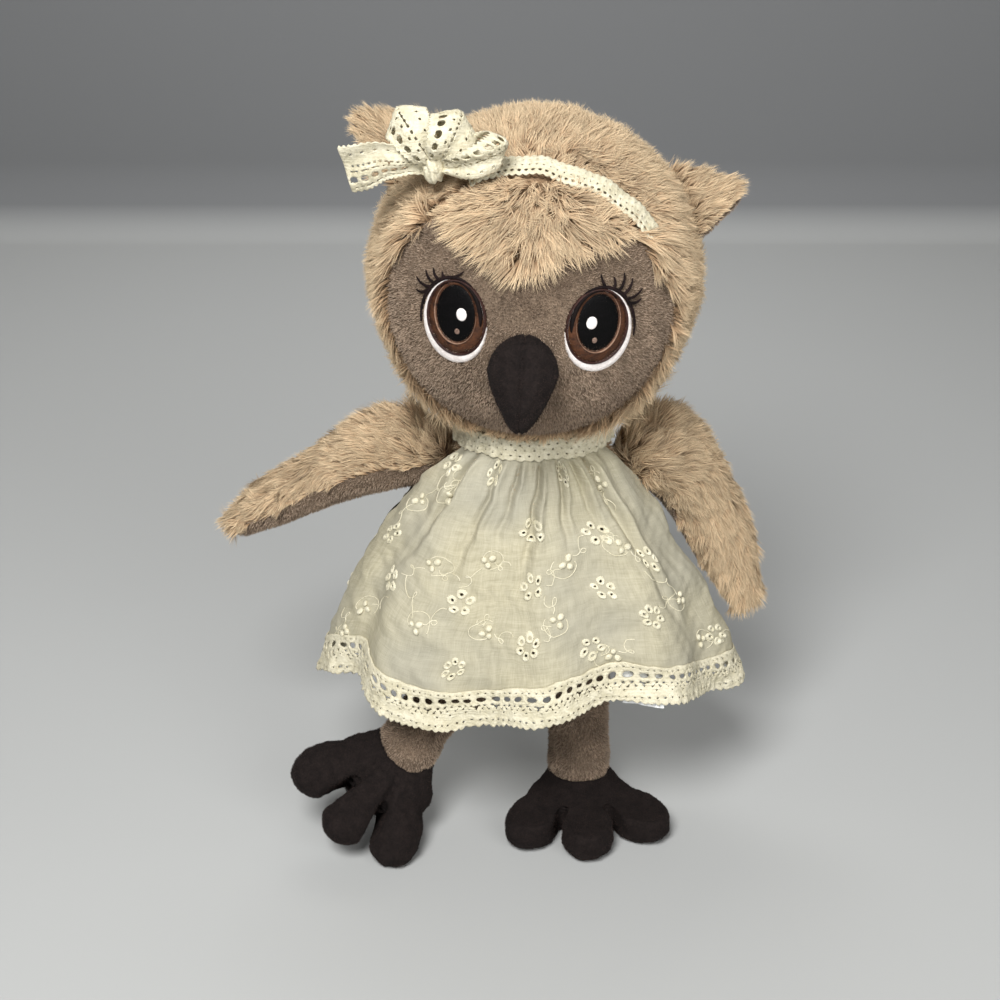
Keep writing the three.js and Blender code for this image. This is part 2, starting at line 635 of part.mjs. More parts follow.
/** One wing: fur on its outer side, short plush on the other, and its filling. */
function makeWing(name, { root, bend, tip, rootFur, tipFur }) {
  const path = new THREE.QuadraticBezierCurve3(at(root), at(bend), at(tip));
  const frames = wingShares.map((_, i) => {
    const along = path.getTangent(i / wingSteps);
    const furSide = at(rootFur).lerp(at(tipFur), i / wingSteps);
    const across = furSide.cross(along).normalize();
    return { centre: path.getPoint(i / wingSteps), along, across, above: along.clone().cross(across) };
  });
  const padded = (inset) => {
    const rings = frames.map(({ centre, along, across, above }, i) => {
      const halfWidth = Math.max(wingHalfWidth * wingShares[i][0] - inset, sewnGap);
      const halfThickness = Math.max(wingHalfThickness * wingShares[i][1] - inset, sewnGap);
      const place = i < wingSteps ? centre : centre.clone().addScaledVector(along, -inset);
      return ovalRing(place, across, above, halfWidth, halfThickness, limbSides);
    });
    return ball(even(wingRootRadius - inset), root, limbSides).add(solidOf(loft(rings)));
  };
  const furHalf = (offset) => solidOf(loft(frames.map(({ centre, along, across, above }, i) => {
    const run = i === 0 ? -wingRootRadius * 2 : i === wingSteps ? overrun : 0;
    const near = centre.clone().addScaledVector(along, run).addScaledVector(above, offset);
    const far = near.clone().addScaledVector(above, wingRootRadius * 3);
    const wide = across.clone().multiplyScalar(wingRootRadius * 2);
    return [near.clone().sub(wide), near.clone().add(wide), far.clone().add(wide), far.clone().sub(wide)];
  })));
  const shell = padded(0).subtract(padded(plushThickness));
  const wing = new THREE.Group();
  wing.add(piece(`wing_${name}_fur`, largest(shell.intersect(furHalf(sewnGap / 2))), 'fur'));
  wing.add(piece(`wing_${name}_lining`, largest(shell.subtract(furHalf(-sewnGap / 2))), 'plush'));
  wing.add(piece(`wing_${name}_filling`, padded(plushThickness + sewnGap), 'filling'));
  return wing;
}

/** A leg's soft tube from its hip to its ankle, domed at both ends. */
function legTube({ hip, knee, ankle }, inset) {
  const path = new THREE.QuadraticBezierCurve3(at(hip), at(knee), at(ankle));
  const forward = new THREE.Vector3(0, -1, 0);
  const places = [];
  for (let i = 0; i < domeSteps; i += 1) places.push([0, (i + domeStart) / domeSteps]);
  for (let i = 0; i <= limbSteps; i += 1) places.push([i / limbSteps, 1]);
  for (let i = domeSteps - 1; i >= 0; i -= 1) places.push([1, (i + domeStart) / domeSteps]);
  return solidOf(loft(places.map(([share, dome]) => {
    const along = path.getTangent(share);
    const across = new THREE.Vector3().crossVectors(forward, along).normalize();
    const above = new THREE.Vector3().crossVectors(along, across);
    const radius = lerp(hipRadius, ankleRadius, share) - inset;
    const turn = (dome * Math.PI) / 2;
    const end = share > 0 ? radius : -radius;
    const centre = path.getPoint(share).addScaledVector(along, end * Math.cos(turn));
    return ovalRing(centre, across, above, radius * Math.sin(turn), radius * Math.sin(turn), limbSides);
  })));
}

/** A leg: its cover, open at the top, and its filling. */
function makeLeg(name, places) {
  const opening = new THREE.CylinderGeometry(legOpening, legOpening, overrun, limbSides);
  opening.rotateX(Math.PI / 2).translate(places.hip[0], places.hip[1], places.hip[2] + overrun / 2);
  const cover = legTube(places, 0).subtract(legTube(places, plushThickness)).subtract(solidOf(opening));
  const leg = new THREE.Group();
  leg.add(piece(`leg_${name}_cover`, cover, 'plush'));
  leg.add(piece(`leg_${name}_filling`, legTube(places, plushThickness + sewnGap), 'filling'));
  return leg;
}

/** A three-toed foot under its ankle: suede upper, sole and filling, hollowed for the leg to flex. */
function makeFoot(name, places, frame) {
  const foot = new THREE.Group();
  foot.applyMatrix4(frame);
  foot.position.copy(at(places.ankle));
  foot.updateMatrix();
  const toFoot = foot.matrix.clone().invert();
  const upLeg = at(places.knee).sub(at(places.ankle)).normalize().transformDirection(toFoot);
  const opening = roomFor(ankleRadius, innerSides);
  const height = ankleRadius * 2;
  const wide = opening + height * Math.tan(radians(footFlex));
  const flared = new THREE.CylinderGeometry(wide, opening, height, innerSides);
  const leaning = new THREE.Quaternion().setFromUnitVectors(new THREE.Vector3(0, 0, 1), upLeg);
  flared.rotateX(Math.PI / 2).translate(0, 0, height / 2).applyQuaternion(leaning);
  const legRoom = ball(even(opening), [0, 0, 0], innerSides).add(solidOf(flared));
  const ground = -ankleLeft[2];
  const rest = (radii) => ground + radii[2] - soleInset;
  const lobes = (inset, sides) => joined(places.toeTurns.map((turn) => {
    const angle = radians(turn);
    const centre = [toeReach * Math.sin(angle), -toeReach * Math.cos(angle), rest(toeRadii)];
    return ball(grown(toeRadii, -inset), centre, sides, new THREE.Matrix4().makeRotationZ(angle));
  }).concat([ball(grown(instepRadii, -inset), [0, -instepForward, rest(instepRadii)], sides),
    ball(grown(heelRadii, -inset), [0, heelBack, rest(heelRadii)], sides)]));
  const reach = toeReach * 2 + overrun;
  const above = (level) => block([-reach, -reach, ground + level], [reach, reach, reach]);
  const floor = (level) => {
    const slab = new THREE.BoxGeometry(reach * 4, reach * 4, reach * 4);
    slab.translate(places.ankle[0], places.ankle[1], level - reach * 2);
    return solidOf(slab.applyMatrix4(toFoot));
  };
  const round = lobes(0, toeSides).subtract(floor(0));
  const sole = round.intersect(above(0)).subtract(above(soleThickness));
  const upper = round.intersect(above(soleThickness + sewnGap))
    .subtract(lobes(suedeThickness, fillingSides)).subtract(legRoom);
  const filling = lobes(suedeThickness + sewnGap, fillingSides)
    .intersect(above(soleThickness + sewnGap * 2)).subtract(legRoom).subtract(floor(sewnGap));
  foot.add(piece(`foot_${name}_upper`, largest(upper), 'suede'));
  foot.add(piece(`foot_${name}_sole`, largest(sole), 'suede'));
  foot.add(piece(`foot_${name}_filling`, largest(filling), 'filling'));
  return foot;
}

/** A smooth value between the points of a table of shares. */
function shareAt(shares, value) {
  const next = Math.max(shares.findIndex(([share]) => share >= value), 1);
  const [from, low] = shares[next - 1];
  const [to, high] = shares[next];
  return low + ((high - low) * (value - from)) / (to - from);
}

const collarBottom = collarTop - collarHeight;
const bandHalfWidth = bodyRadius * neckShare + sewnGap + collarThickness / 2;
const bandHalfDepth = bodyRadius * neckShare * bodyDepthShare + sewnGap + collarThickness / 2;

/** The sum of a few smooth bumps round the dress, each with its place, share and spread. */
function bumps(shares, degrees) {
  return shares.reduce((sum, [place, share, spread]) => {
    const turn = THREE.MathUtils.euclideanModulo(degrees - place + halfTurn, halfTurn * 2) - halfTurn;
    return sum + share * Math.exp(-((turn / spread) ** 2));
  }, 0);
}

/** How far above the floor the lace ends, round the hem. */
function hemAt(degrees) {
  return hemHeight + hemLift * bumps(hemLiftShares, degrees);
}

/** A point of the dress: degrees round from the front, and a fall from the neck band to the hem. */
function dressPoint(degrees, fall, inset = 0) {
  const angle = radians(degrees);
  const flare = shareAt(flareShares, THREE.MathUtils.clamp(fall, 0, 1));
  const front = (1 + Math.cos(angle)) / 2;
  const hemDepth = lerp(hemBackDepth, hemFrontDepth, front);
  const lower = (fall - wingPressFall) / wingPressSpread;
  const press = wingPress * Math.exp(-(lower ** 2)) * Math.min(fall / wingPressFall, 1);
  const ripple = foldDepth * fall * bumps(foldShares, degrees) - press * bumps(wingPressShares, degrees);
  const halfWidth = lerp(bandHalfWidth, hemHalfWidth, flare) + ripple - inset;
  const halfDepth = lerp(bandHalfDepth, hemDepth, flare) + ripple - inset;
  const top = collarBottom - sewnGap;
  const height = top - fall * (top - hemAt(degrees));
  return at([halfWidth * Math.sin(angle), -halfDepth * Math.cos(angle), height]).add(at(bodyCentre));
}

const laceFall = (degrees) => 1 - laceHeight / (collarBottom - sewnGap - hemAt(degrees));

/** The dress: front and back panels, neck band, hem lace and the blank label inside the hem. */
function makeDress() {
  const sideGap = THREE.MathUtils.radToDeg(sewnGap / bandHalfDepth);
  const panel = (middle, armholeAngle, armholeShare) => sheet((u, v) => {
    const side = lerp(armholeAngle, halfTurn / 2 - sideGap, smoothstep(v, 0, armholeShare));
    const degrees = middle + (2 * u - 1) * side;
    return dressPoint(degrees, v * laceFall(degrees));
  }, panelColumns, panelRows, cottonThickness);
  const band = (u, v) => new THREE.Vector3(bandHalfWidth * Math.sin(u * 2 * Math.PI),
    -bandHalfDepth * Math.cos(u * 2 * Math.PI), collarTop - v * collarHeight).add(at(bodyCentre));
  const dress = new THREE.Group();
  dress.add(piece('dress_front', panel(0, armholeAngleFront, armholeShareFront), 'cotton'));
  dress.add(piece('dress_back', panel(halfTurn, armholeAngleBack, armholeShareBack), 'cotton'));
  dress.add(piece('dress_collar', sheet(band, bodySides, 1, collarThickness, true), 'lace'));
  const lace = (u, v) => {
    const degrees = u * halfTurn * 2;
    const top = laceFall(degrees) + sewnGap / (collarBottom - hemAt(degrees));
    return dressPoint(degrees, lerp(top, 1, v));
  };
  dress.add(piece('hem_lace', sheet(lace, laceColumns, laceRows, cottonThickness, true), 'lace'));
  const labelTurn = THREE.MathUtils.radToDeg(labelWidth / hemFrontDepth);
  const drop = collarBottom - hemAt(labelAngle);
  const label = (u, v) => dressPoint(labelAngle + (u - 1 / 2) * labelTurn,
    1 + (labelShow - (1 - v) * labelHeight) / drop, cottonThickness + labelThickness);
  dress.add(piece('care_label', sheet(label, labelColumns, labelRows, labelThickness), 'label'));
  return dress;
}

const flat = new THREE.Matrix4();
const turnedFoot = frameAlong(at(footRightUp).cross(at(footRightForward)), at(footRightUp));
owl.add(makeHead(), makeNeck(), makeBody());
owl.add(makeWing('left', wingLeft), makeWing('right', wingRight));
owl.add(makeLeg('left', legLeft), makeFoot('left', legLeft, flat));
owl.add(makeLeg('right', legRight), makeFoot('right', legRight, turnedFoot));
owl.add(makeDress());

// The origin moves to the floor under the middle of the whole toy
const span = new THREE.Box3().setFromObject(owl, true);
const middle = span.getCenter(new THREE.Vector3());
owl.position.set(-middle.x, -middle.y, -span.min.z);

export default owl;
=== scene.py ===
# %% [markdown]
# # A plush owl in an embroidered dress
# The toy is a stuffed owl: a long-pile fur head and wings, a short-pile face, legs and wing linings,
# a padded beak and feet of dark suede cloth, stitched eyes, and a gathered cotton dress with lace.
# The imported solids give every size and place. This lesson dresses them, one material and one piece
# at a time, and keeps each piece on the body that carries it.

# %% The frame
import math

import bmesh
import bpy
import numpy as np
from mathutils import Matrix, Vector
from mathutils.bvhtree import BVHTree
from mathutils.kdtree import KDTree


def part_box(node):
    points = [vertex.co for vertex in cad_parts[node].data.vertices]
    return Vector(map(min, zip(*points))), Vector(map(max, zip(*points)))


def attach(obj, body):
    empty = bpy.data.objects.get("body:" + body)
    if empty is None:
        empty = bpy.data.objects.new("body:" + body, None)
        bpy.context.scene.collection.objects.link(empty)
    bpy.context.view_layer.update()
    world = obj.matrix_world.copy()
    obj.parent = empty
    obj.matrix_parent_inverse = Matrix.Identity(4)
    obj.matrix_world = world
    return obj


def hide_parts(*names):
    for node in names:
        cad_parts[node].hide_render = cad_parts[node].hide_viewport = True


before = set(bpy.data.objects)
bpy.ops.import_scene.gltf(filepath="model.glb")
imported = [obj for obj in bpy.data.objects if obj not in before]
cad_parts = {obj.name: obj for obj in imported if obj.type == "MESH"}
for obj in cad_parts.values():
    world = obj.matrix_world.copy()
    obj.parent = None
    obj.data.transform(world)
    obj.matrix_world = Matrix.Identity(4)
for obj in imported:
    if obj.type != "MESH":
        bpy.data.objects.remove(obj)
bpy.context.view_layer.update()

# %% [markdown]
# ## Where things are
# Toys are drawn in millimetres, with the owl facing -Y and the floor at zero. Blender works in
# metres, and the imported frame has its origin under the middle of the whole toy. The post of the neck
# is round, so the middle of its box ties the two frames together.

# %% Millimetres of the owl to metres of the frame
MM = 0.001
NECK_CENTRE = (-1.0, -5.0)
low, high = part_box("neck_filling")
ORIGIN = np.array([(low[i] + high[i]) / 2 / MM - NECK_CENTRE[i] for i in range(2)] + [0.0])
print("origin of the owl in the frame, mm:", ORIGIN.round(3))


# %% Ways, shares and turns
def unit(vectors):
    return vectors / np.maximum(np.linalg.norm(vectors, axis=-1, keepdims=True), 1e-9)


def ease(value, start, end):
    share = np.clip((value - start) / (end - start), 0, 1)
    return share * share * (3 - 2 * share)


def mix(a, b, share):
    return a + (b - a) * share


def turned(degrees, axis):
    """A turn about Z or Y as a matrix."""
    c, s = math.cos(math.radians(degrees)), math.sin(math.radians(degrees))
    rows = [[c, -s, 0], [s, c, 0], [0, 0, 1]] if axis == "Z" else [[c, 0, s], [0, 1, 0], [-s, 0, c]]
    return np.array(rows)


# %% The head's own frame
HEAD_CENTRE = np.array([-1.0, -8.0, 197.0])
HEAD_TURN = turned(-4, "Z") @ turned(2.5, "Y")


def from_head(points):
    return points @ HEAD_TURN.T + HEAD_CENTRE


def to_head(points):
    return (points - HEAD_CENTRE) @ HEAD_TURN


print("middle of the head:", from_head(np.zeros(3)), "mm")

# %% [markdown]
# ## Camera, floor and light
# The photograph looks down at about 25 degrees from half a metre away. The floor is a pale sweep
# that rises behind the toy, and its wall is painted darker as painted shade. A soft key light stands
# high in front, a little to the left. A wide fill, a lamp behind the toy and one over the far floor
# keep the shadows pale.

# %% Camera
scene = bpy.context.scene
SIGHT = np.array([-11.7, 0.0, 116.5])
CAMERA = np.array([-11.7, -513.9, 356.1])
LENS, SENSOR = 61.2, 36.0
camera = bpy.data.objects.new("camera", bpy.data.cameras.new("camera"))
camera.data.lens, camera.data.sensor_width = LENS, SENSOR
camera.location = (CAMERA + ORIGIN) * MM
look = Vector((SIGHT - CAMERA) * MM)
camera.rotation_euler = look.to_track_quat("-Z", "Y").to_euler()
scene.collection.objects.link(camera)
scene.camera = camera
scene.view_settings.view_transform = "Standard"
print("camera", round(look.length, 3), "m from the toy")

# %% [markdown]
# ## Meshes
# A pile has hundreds of thousands of hairs, and editing each of them by hand or with a modifier would
# be slow. So every piece is made from arrays of points and faces, which numpy works out all at once.

# %% Meshes from arrays
def mesh_of(name, points, faces):
    """A smooth mesh from millimetre points and one or more arrays of faces."""
    groups = [np.asarray(g, np.int32) for g in (faces if isinstance(faces, list) else [faces])]
    mesh = bpy.data.meshes.new(name)
    mesh.vertices.add(len(points))
    mesh.vertices.foreach_set("co", ((points + ORIGIN) * MM).astype(np.float32).ravel())
    corners = np.concatenate([g.ravel() for g in groups])
    sizes = np.concatenate([np.full(len(g), g.shape[1]) for g in groups])
    mesh.loops.add(len(corners))
    mesh.loops.foreach_set("vertex_index", corners)
    mesh.polygons.add(len(sizes))
    mesh.polygons.foreach_set("loop_start", (np.cumsum(sizes) - sizes).astype(np.int32))
    mesh.polygons.foreach_set("use_smooth", np.full(len(sizes), True))
    mesh.update(calc_edges=True)
    return mesh


def piece(name, points, faces, material=None, body=None):
    """A new object from millimetre points, with its material, that rides on a body."""
    mesh = mesh_of(name, points, faces)
    obj = bpy.data.objects.new(name, mesh)
    scene.collection.objects.link(obj)
    if material is not None:
        mesh.materials.append(material)
    if body:
        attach(obj, body)
    return obj


# %% Several meshes as one
def merged(parts):
    """Several meshes, each of points and one or more arrays of faces, as one."""
    points, faces, start = [], [], 0
    for own, arrays in parts:
        points.append(own)
        faces += [array + start for array in (arrays if isinstance(arrays, list) else [arrays])]
        start += len(own)
    return np.concatenate(points), faces


# %% Faces of a grid
def grid_faces(columns, rows, closed=False):
    """Quads of a grid whose points run along the columns first. A closed grid joins its ends."""
    across = columns if closed else columns + 1
    i, j = np.meshgrid(np.arange(columns), np.arange(rows))
    i, j = i.ravel(), j.ravel()
    following = (i + 1) % across
    return np.stack([j * across + i, j * across + following,
                     (j + 1) * across + following, (j + 1) * across + i], 1)


print("a grid of 3 by 2 has", len(grid_faces(3, 2)), "quads")


# %% Floor
FLOOR_HALF, FLOOR_FRONT, FLOOR_BACK, WALL_TOP = 2200.0, -2600.0, 690.0, 2400.0
SWEEP_RADIUS, SWEEP_ROWS = 50.0, 24
floor_line = [(FLOOR_FRONT, 0.0), (FLOOR_BACK, 0.0)]
for k in range(1, SWEEP_ROWS + 1):
    turn = k / SWEEP_ROWS * math.pi / 2
    floor_line.append((FLOOR_BACK + SWEEP_RADIUS * math.sin(turn), SWEEP_RADIUS * (1 - math.cos(turn))))
floor_line.append((FLOOR_BACK + SWEEP_RADIUS, WALL_TOP))
floor_points = np.array([[x, y, z] for y, z in floor_line for x in (-FLOOR_HALF, FLOOR_HALF)])
floor = piece("floor", floor_points, grid_faces(1, len(floor_line) - 1))
print("floor:", len(floor_points), "points")


# %% [markdown]
# ## Effects that several materials share
# Three small node groups: one tints a hair from its root to its tip, one gives cloth the grain of its
# threads, and one gives brushed cloth its nap. They put out only colours and heights. The shaders
# stay in the materials.

# %% Groups, nodes and links
def effect(name, inputs, outputs):
    """An empty node group with named sockets: its tree, what it is given, and what it gives back."""
    tree = bpy.data.node_groups.new(name, "ShaderNodeTree")
    for label, kind, value in inputs:
        made = tree.interface.new_socket(label, in_out="INPUT", socket_type="NodeSocket" + kind)
        if value is not None:
            made.default_value = value
    for label, kind in outputs:
        tree.interface.new_socket(label, in_out="OUTPUT", socket_type="NodeSocket" + kind)
    return tree, tree.nodes.new("NodeGroupInput").outputs, tree.nodes.new("NodeGroupOutput").inputs


def node(tree, kind, links=None, **settings):
    """A node with its settings, and with its sockets linked or set."""
    made = tree.nodes.new("ShaderNode" + kind)
    for key, value in settings.items():
        setattr(made, key, value)
    for key, value in (links or {}).items():
        if isinstance(value, bpy.types.NodeSocket):
            tree.links.new(value, made.inputs[key])
        else:
            made.inputs[key].default_value = value
    return made


# %% Steps that the groups share
def noise(tree, place, scale, detail, **links):
    """A cloudy noise between 0 and 1."""
    made = node(tree, "TexNoise", {"Vector": place, "Scale": scale, "Detail": detail, **links})
    return made.outputs["Fac"]


def reckon(tree, operation, a, b):
    """The sum, difference or product of two values."""
    return node(tree, "Math", {0: a, 1: b}, operation=operation).outputs[0]


def spread(tree, value, from_low, from_high, to_low=0, to_high=1):
    """A value's range stretched to another range."""
    made = node(tree, "MapRange", {"Value": value, "From Min": from_low, "From Max": from_high,
                                   "To Min": to_low, "To Max": to_high})
    return made.outputs["Result"]


def mixed(tree, share, a, b):
    """Two colours mixed by a share."""
    return node(tree, "Mix", {"Factor": share, 6: a, 7: b}, data_type="RGBA").outputs[2]


# %% Tint of a hair
def pile_tint():
    tree, given, result = effect("pile tint", [
        ("Root", "Color", (0.2, 0.1, 0.05, 1)), ("Middle", "Color", (0.4, 0.3, 0.2, 1)),
        ("Tip", "Color", (0.7, 0.6, 0.4, 1)), ("Along", "Float", 0.5), ("Chance", "Float", 0.5),
        ("Lock", "Float", 0.5), ("Spread", "Float", 0.3), ("Mottle", "Float", 40.0)], [("Color", "Color")])
    lower = mixed(tree, spread(tree, given["Along"], 0, 0.45), given["Root"], given["Middle"])
    upper = mixed(tree, spread(tree, given["Along"], 0.4, 1), lower, given["Tip"])
    cloud = noise(tree, node(tree, "TexCoord").outputs["Object"], given["Mottle"], 3)
    total = reckon(tree, "ADD", reckon(tree, "ADD", given["Chance"], given["Lock"]), cloud)
    centred = reckon(tree, "SUBTRACT", total, 1.5)
    value = reckon(tree, "ADD", reckon(tree, "MULTIPLY", centred, given["Spread"]), 1.0)
    toned = node(tree, "HueSaturation", {"Color": upper, "Value": value})
    tree.links.new(toned.outputs[0], result["Color"])
    return tree


PILE_TINT = pile_tint()
print("pile tint:", len(PILE_TINT.nodes), "nodes")


# %% Grain of thread
def thread_grain():
    tree, given, result = effect("thread grain", [
        ("Vector", "Vector", None), ("Pitch", "Float", 2000.0), ("Slub", "Float", 300.0)],
        [("Shade", "Float"), ("Height", "Float")])
    warp, weft = (node(tree, "Mapping", {"Vector": given["Vector"], "Scale": stretch}).outputs[0]
                  for stretch in ((1, 0.08, 1), (0.08, 1, 1)))
    fine, slubs = (reckon(tree, "ADD", noise(tree, warp, given[size], 2), noise(tree, weft, given[size], 2))
                   for size in ("Pitch", "Slub"))
    both = reckon(tree, "ADD", fine, slubs)
    tree.links.new(spread(tree, both, 1.6, 2.4), result["Shade"])
    tree.links.new(both, result["Height"])
    return tree


THREAD_GRAIN = thread_grain()
print("thread grain:", len(THREAD_GRAIN.nodes), "nodes")


# %% Nap of brushed cloth
def nap():
    tree, given, result = effect("nap", [("Fine", "Float", 2500.0), ("Broad", "Float", 90.0)],
                                 [("Shade", "Float"), ("Height", "Float"), ("Fluff", "Float")])
    place = node(tree, "TexCoord").outputs["Object"]
    fine = noise(tree, place, given["Fine"], 4)
    broad = noise(tree, place, given["Broad"], 3, Distortion=0.8)
    specks = node(tree, "TexVoronoi", {"Vector": place, "Scale": given["Broad"]}).outputs["Distance"]
    tree.links.new(spread(tree, reckon(tree, "MULTIPLY", fine, broad), 0.12, 0.4), result["Shade"])
    tree.links.new(fine, result["Height"])
    tree.links.new(spread(tree, specks, 0, 0.05, 1, 0), result["Fluff"])
    return tree


NAP = nap()
print("nap:", len(NAP.nodes), "nodes")


# %% [markdown]
# ## Materials
# Colours are given as a screen shows them, and are made linear for the shader. The shader's own
# sockets hold whatever is the same all over a piece, such as sheen, and nodes drive only what changes
# from place to place.

# %% A material's colours and sockets
def linear(colour):
    """A colour as a screen shows it, 0 to 255, made linear."""
    return tuple(((c / 255 + 0.055) / 1.055) ** 2.4 for c in colour) + (1,)


def material(name, roughness, specular, sheen=0.0, sheen_rough=0.4, tint=(1, 1, 1, 1)):
    made = bpy.data.materials.new(name)
    made.use_nodes = True
    shader = made.node_tree.nodes["Principled BSDF"]
    settings = {"Roughness": roughness, "Specular IOR Level": specular, "Sheen Weight": sheen,
                "Sheen Roughness": sheen_rough, "Sheen Tint": tint}
    for socket, value in settings.items():
        shader.inputs[socket].default_value = value
    return made, made.node_tree, shader


def finished(tree, shader, colour, height, depth):
    """A colour over the surface, and a relief so many metres deep."""
    tree.links.new(colour, shader.inputs["Base Color"])
    bump = node(tree, "Bump", {"Height": height, "Distance": depth, "Strength": 1.0})
    tree.links.new(bump.outputs[0], shader.inputs["Normal"])


# %% Material of hairs
def pile_material(name, root, middle, tip, spread_share, mottle, sheen):
    """Hairs, tinted from root to tip by what is painted on their points."""
    made, tree, shader = material(name, 0.85, 0.15, sheen, 0.6, linear(tip))
    painted = node(tree, "Attribute", attribute_name="pile")
    parts = node(tree, "SeparateColor", {"Color": painted.outputs["Color"]}).outputs
    tint = node(tree, "Group", {"Root": linear(root), "Middle": linear(middle), "Tip": linear(tip),
                                "Spread": spread_share, "Mottle": mottle, "Along": parts[0],
                                "Chance": parts[1], "Lock": parts[2]}, node_tree=PILE_TINT)
    tree.links.new(tint.outputs[0], shader.inputs["Base Color"])
    return made


# %% Material of brushed cloth
def nap_material(name, dark, light, fine, broad, depth, sheen, fluff=None):
    """Brushed cloth or a short pile seen from far off."""
    made, tree, shader = material(name, 0.95, 0.2, sheen, tint=linear(light))
    texture = node(tree, "Group", {"Fine": fine, "Broad": broad}, node_tree=NAP).outputs
    colour = mixed(tree, texture["Shade"], linear(dark), linear(light))
    if fluff:
        colour = mixed(tree, texture["Fluff"], colour, linear(fluff))
    finished(tree, shader, colour, texture["Height"], depth)
    return made


# %% Material of thread
def thread_material(name, dark, light, pitch, slub, depth, roughness, sheen, layer=None, thin=None,
                    shine=0.25):
    """Woven, knitted or stitched thread. A cloth with a laid-out layer follows its own grain."""
    made, tree, shader = material(name, roughness, shine, sheen, tint=linear(light))
    in_object = node(tree, "TexCoord").outputs["Object"]
    place = node(tree, "UVMap", uv_map=layer).outputs[0] if layer else in_object
    texture = node(tree, "Group", {"Vector": place, "Pitch": pitch, "Slub": slub},
                   node_tree=THREAD_GRAIN).outputs
    colour = mixed(tree, texture["Shade"], linear(dark), linear(light))
    if thin:
        wash = spread(tree, noise(tree, in_object, 26.0, 2), 0.4, 0.62, 0, 0.6)
        colour = mixed(tree, wash, colour, linear(thin))
    finished(tree, shader, colour, texture["Height"], depth)
    return made


# %% Fur, plush, suede and cotton
FUR = pile_material("long pile fur", (100, 77, 55), (170, 142, 111), (212, 191, 158), 0.4, 60, 0.12)
PLUSH = pile_material("short pile plush", (90, 75, 63), (140, 121, 103), (180, 161, 141), 0.4, 150, 0.15)
FUR_BACKING = nap_material("fur backing", (120, 95, 71), (168, 141, 111), 1500, 60, 0.0004, 0.2)
PLUSH_BACKING = nap_material("plush backing", (86, 72, 60), (134, 116, 98), 1600, 120, 0.0004, 0.25)
SUEDE = nap_material("brushed suede cloth", (18, 13, 12), (34, 27, 25), 1600, 300, 0.0003, 0.02,
                     fluff=(40, 32, 30))
SUEDE_NAP = pile_material("raised suede nap", (18, 13, 12), (35, 28, 26), (62, 50, 46), 0.8, 200, 0.02)
COTTON = thread_material("cotton voile", (166, 159, 134), (188, 181, 156), 3.2, 0.8, 0.0001, 0.85, 0.15,
                         layer="cloth", thin=(158, 155, 142))
LACE = thread_material("cotton lace", (192, 184, 156), (223, 216, 192), 1400, 300, 0.00025, 0.9, 0.2)
EMBROIDERY = thread_material("embroidery thread", (198, 191, 163), (226, 220, 197), 1800, 300, 0.0002,
                             0.6, 0.2)
print([made.name for made in bpy.data.materials])

# %% The floor's own material
WALL_SHADE_HEIGHT = 0.02
floor_made, floor_tree, floor_shader = material("pale floor", 0.9, 0.1)
floor_place = node(floor_tree, "SeparateXYZ", {"Vector": node(floor_tree, "TexCoord").outputs["Object"]})
floor_cloud = node(floor_tree, "TexNoise", {"Scale": 3.0, "Detail": 2}).outputs["Fac"]
floor_tint = mixed(floor_tree, floor_cloud, linear((176, 177, 176)), linear((184, 185, 183)))
# Painted shade: the sweep turns a darker grey where it rises into the wall, which the lamps light less.
floor_tint = mixed(floor_tree, spread(floor_tree, floor_place.outputs["Z"], 0, WALL_SHADE_HEIGHT), floor_tint,
                   linear((128, 129, 130)))
floor_tree.links.new(floor_tint, floor_shader.inputs["Base Color"])
floor.data.materials.append(floor_made)
print(len(bpy.data.materials), "materials")


# %% Lights
def area_light(name, place, target, size, power):
    """A soft round lamp, placed and aimed in millimetres."""
    lamp = bpy.data.lights.new(name, "AREA")
    lamp.shape, lamp.size, lamp.energy = "DISK", size * MM, power
    light = bpy.data.objects.new(name, lamp)
    light.location = (np.array(place) + ORIGIN) * MM
    aim = Vector((np.array(target) - np.array(place)) * MM)
    light.rotation_euler = aim.to_track_quat("-Z", "Y").to_euler()
    scene.collection.objects.link(light)


area_light("key", (-190, -650, 790), (0, 0, 90), 380, 11.2)
area_light("fill", (470, -860, 450), (0, 0, 100), 700, 4.8)
area_light("far floor", (0, 560, 700), (0, 640, 0), 500, 1.7)
area_light("rim", (-250, 780, 720), (0, 0, 140), 700, 3.2)
world = bpy.data.worlds.new("studio")
world.use_nodes = True
background = world.node_tree.nodes["Background"]
background.inputs["Color"].default_value = (1, 1, 1, 1)
background.inputs["Strength"].default_value = 0.08
scene.world = world
print(len(bpy.data.lights), "lights")


# %% [markdown]
# ## Skins from the solids
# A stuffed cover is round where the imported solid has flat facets. Dividing the solids more finely
# would keep the seams between them. A voxel remesh joins a cover and its filling into one closed
# skin instead, and smoothing takes the facets off it.

# %% Points of a solid
def node_mesh(name):
    """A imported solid's points in millimetres and its triangles."""
    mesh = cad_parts[name].data
    points = np.zeros(len(mesh.vertices) * 3)
    mesh.vertices.foreach_get("co", points)
    mesh.calc_loop_triangles()
    triangles = np.zeros(len(mesh.loop_triangles) * 3, np.int32)
    mesh.loop_triangles.foreach_get("vertices", triangles)
    return points.reshape(-1, 3) / MM - ORIGIN, triangles.reshape(-1, 3)


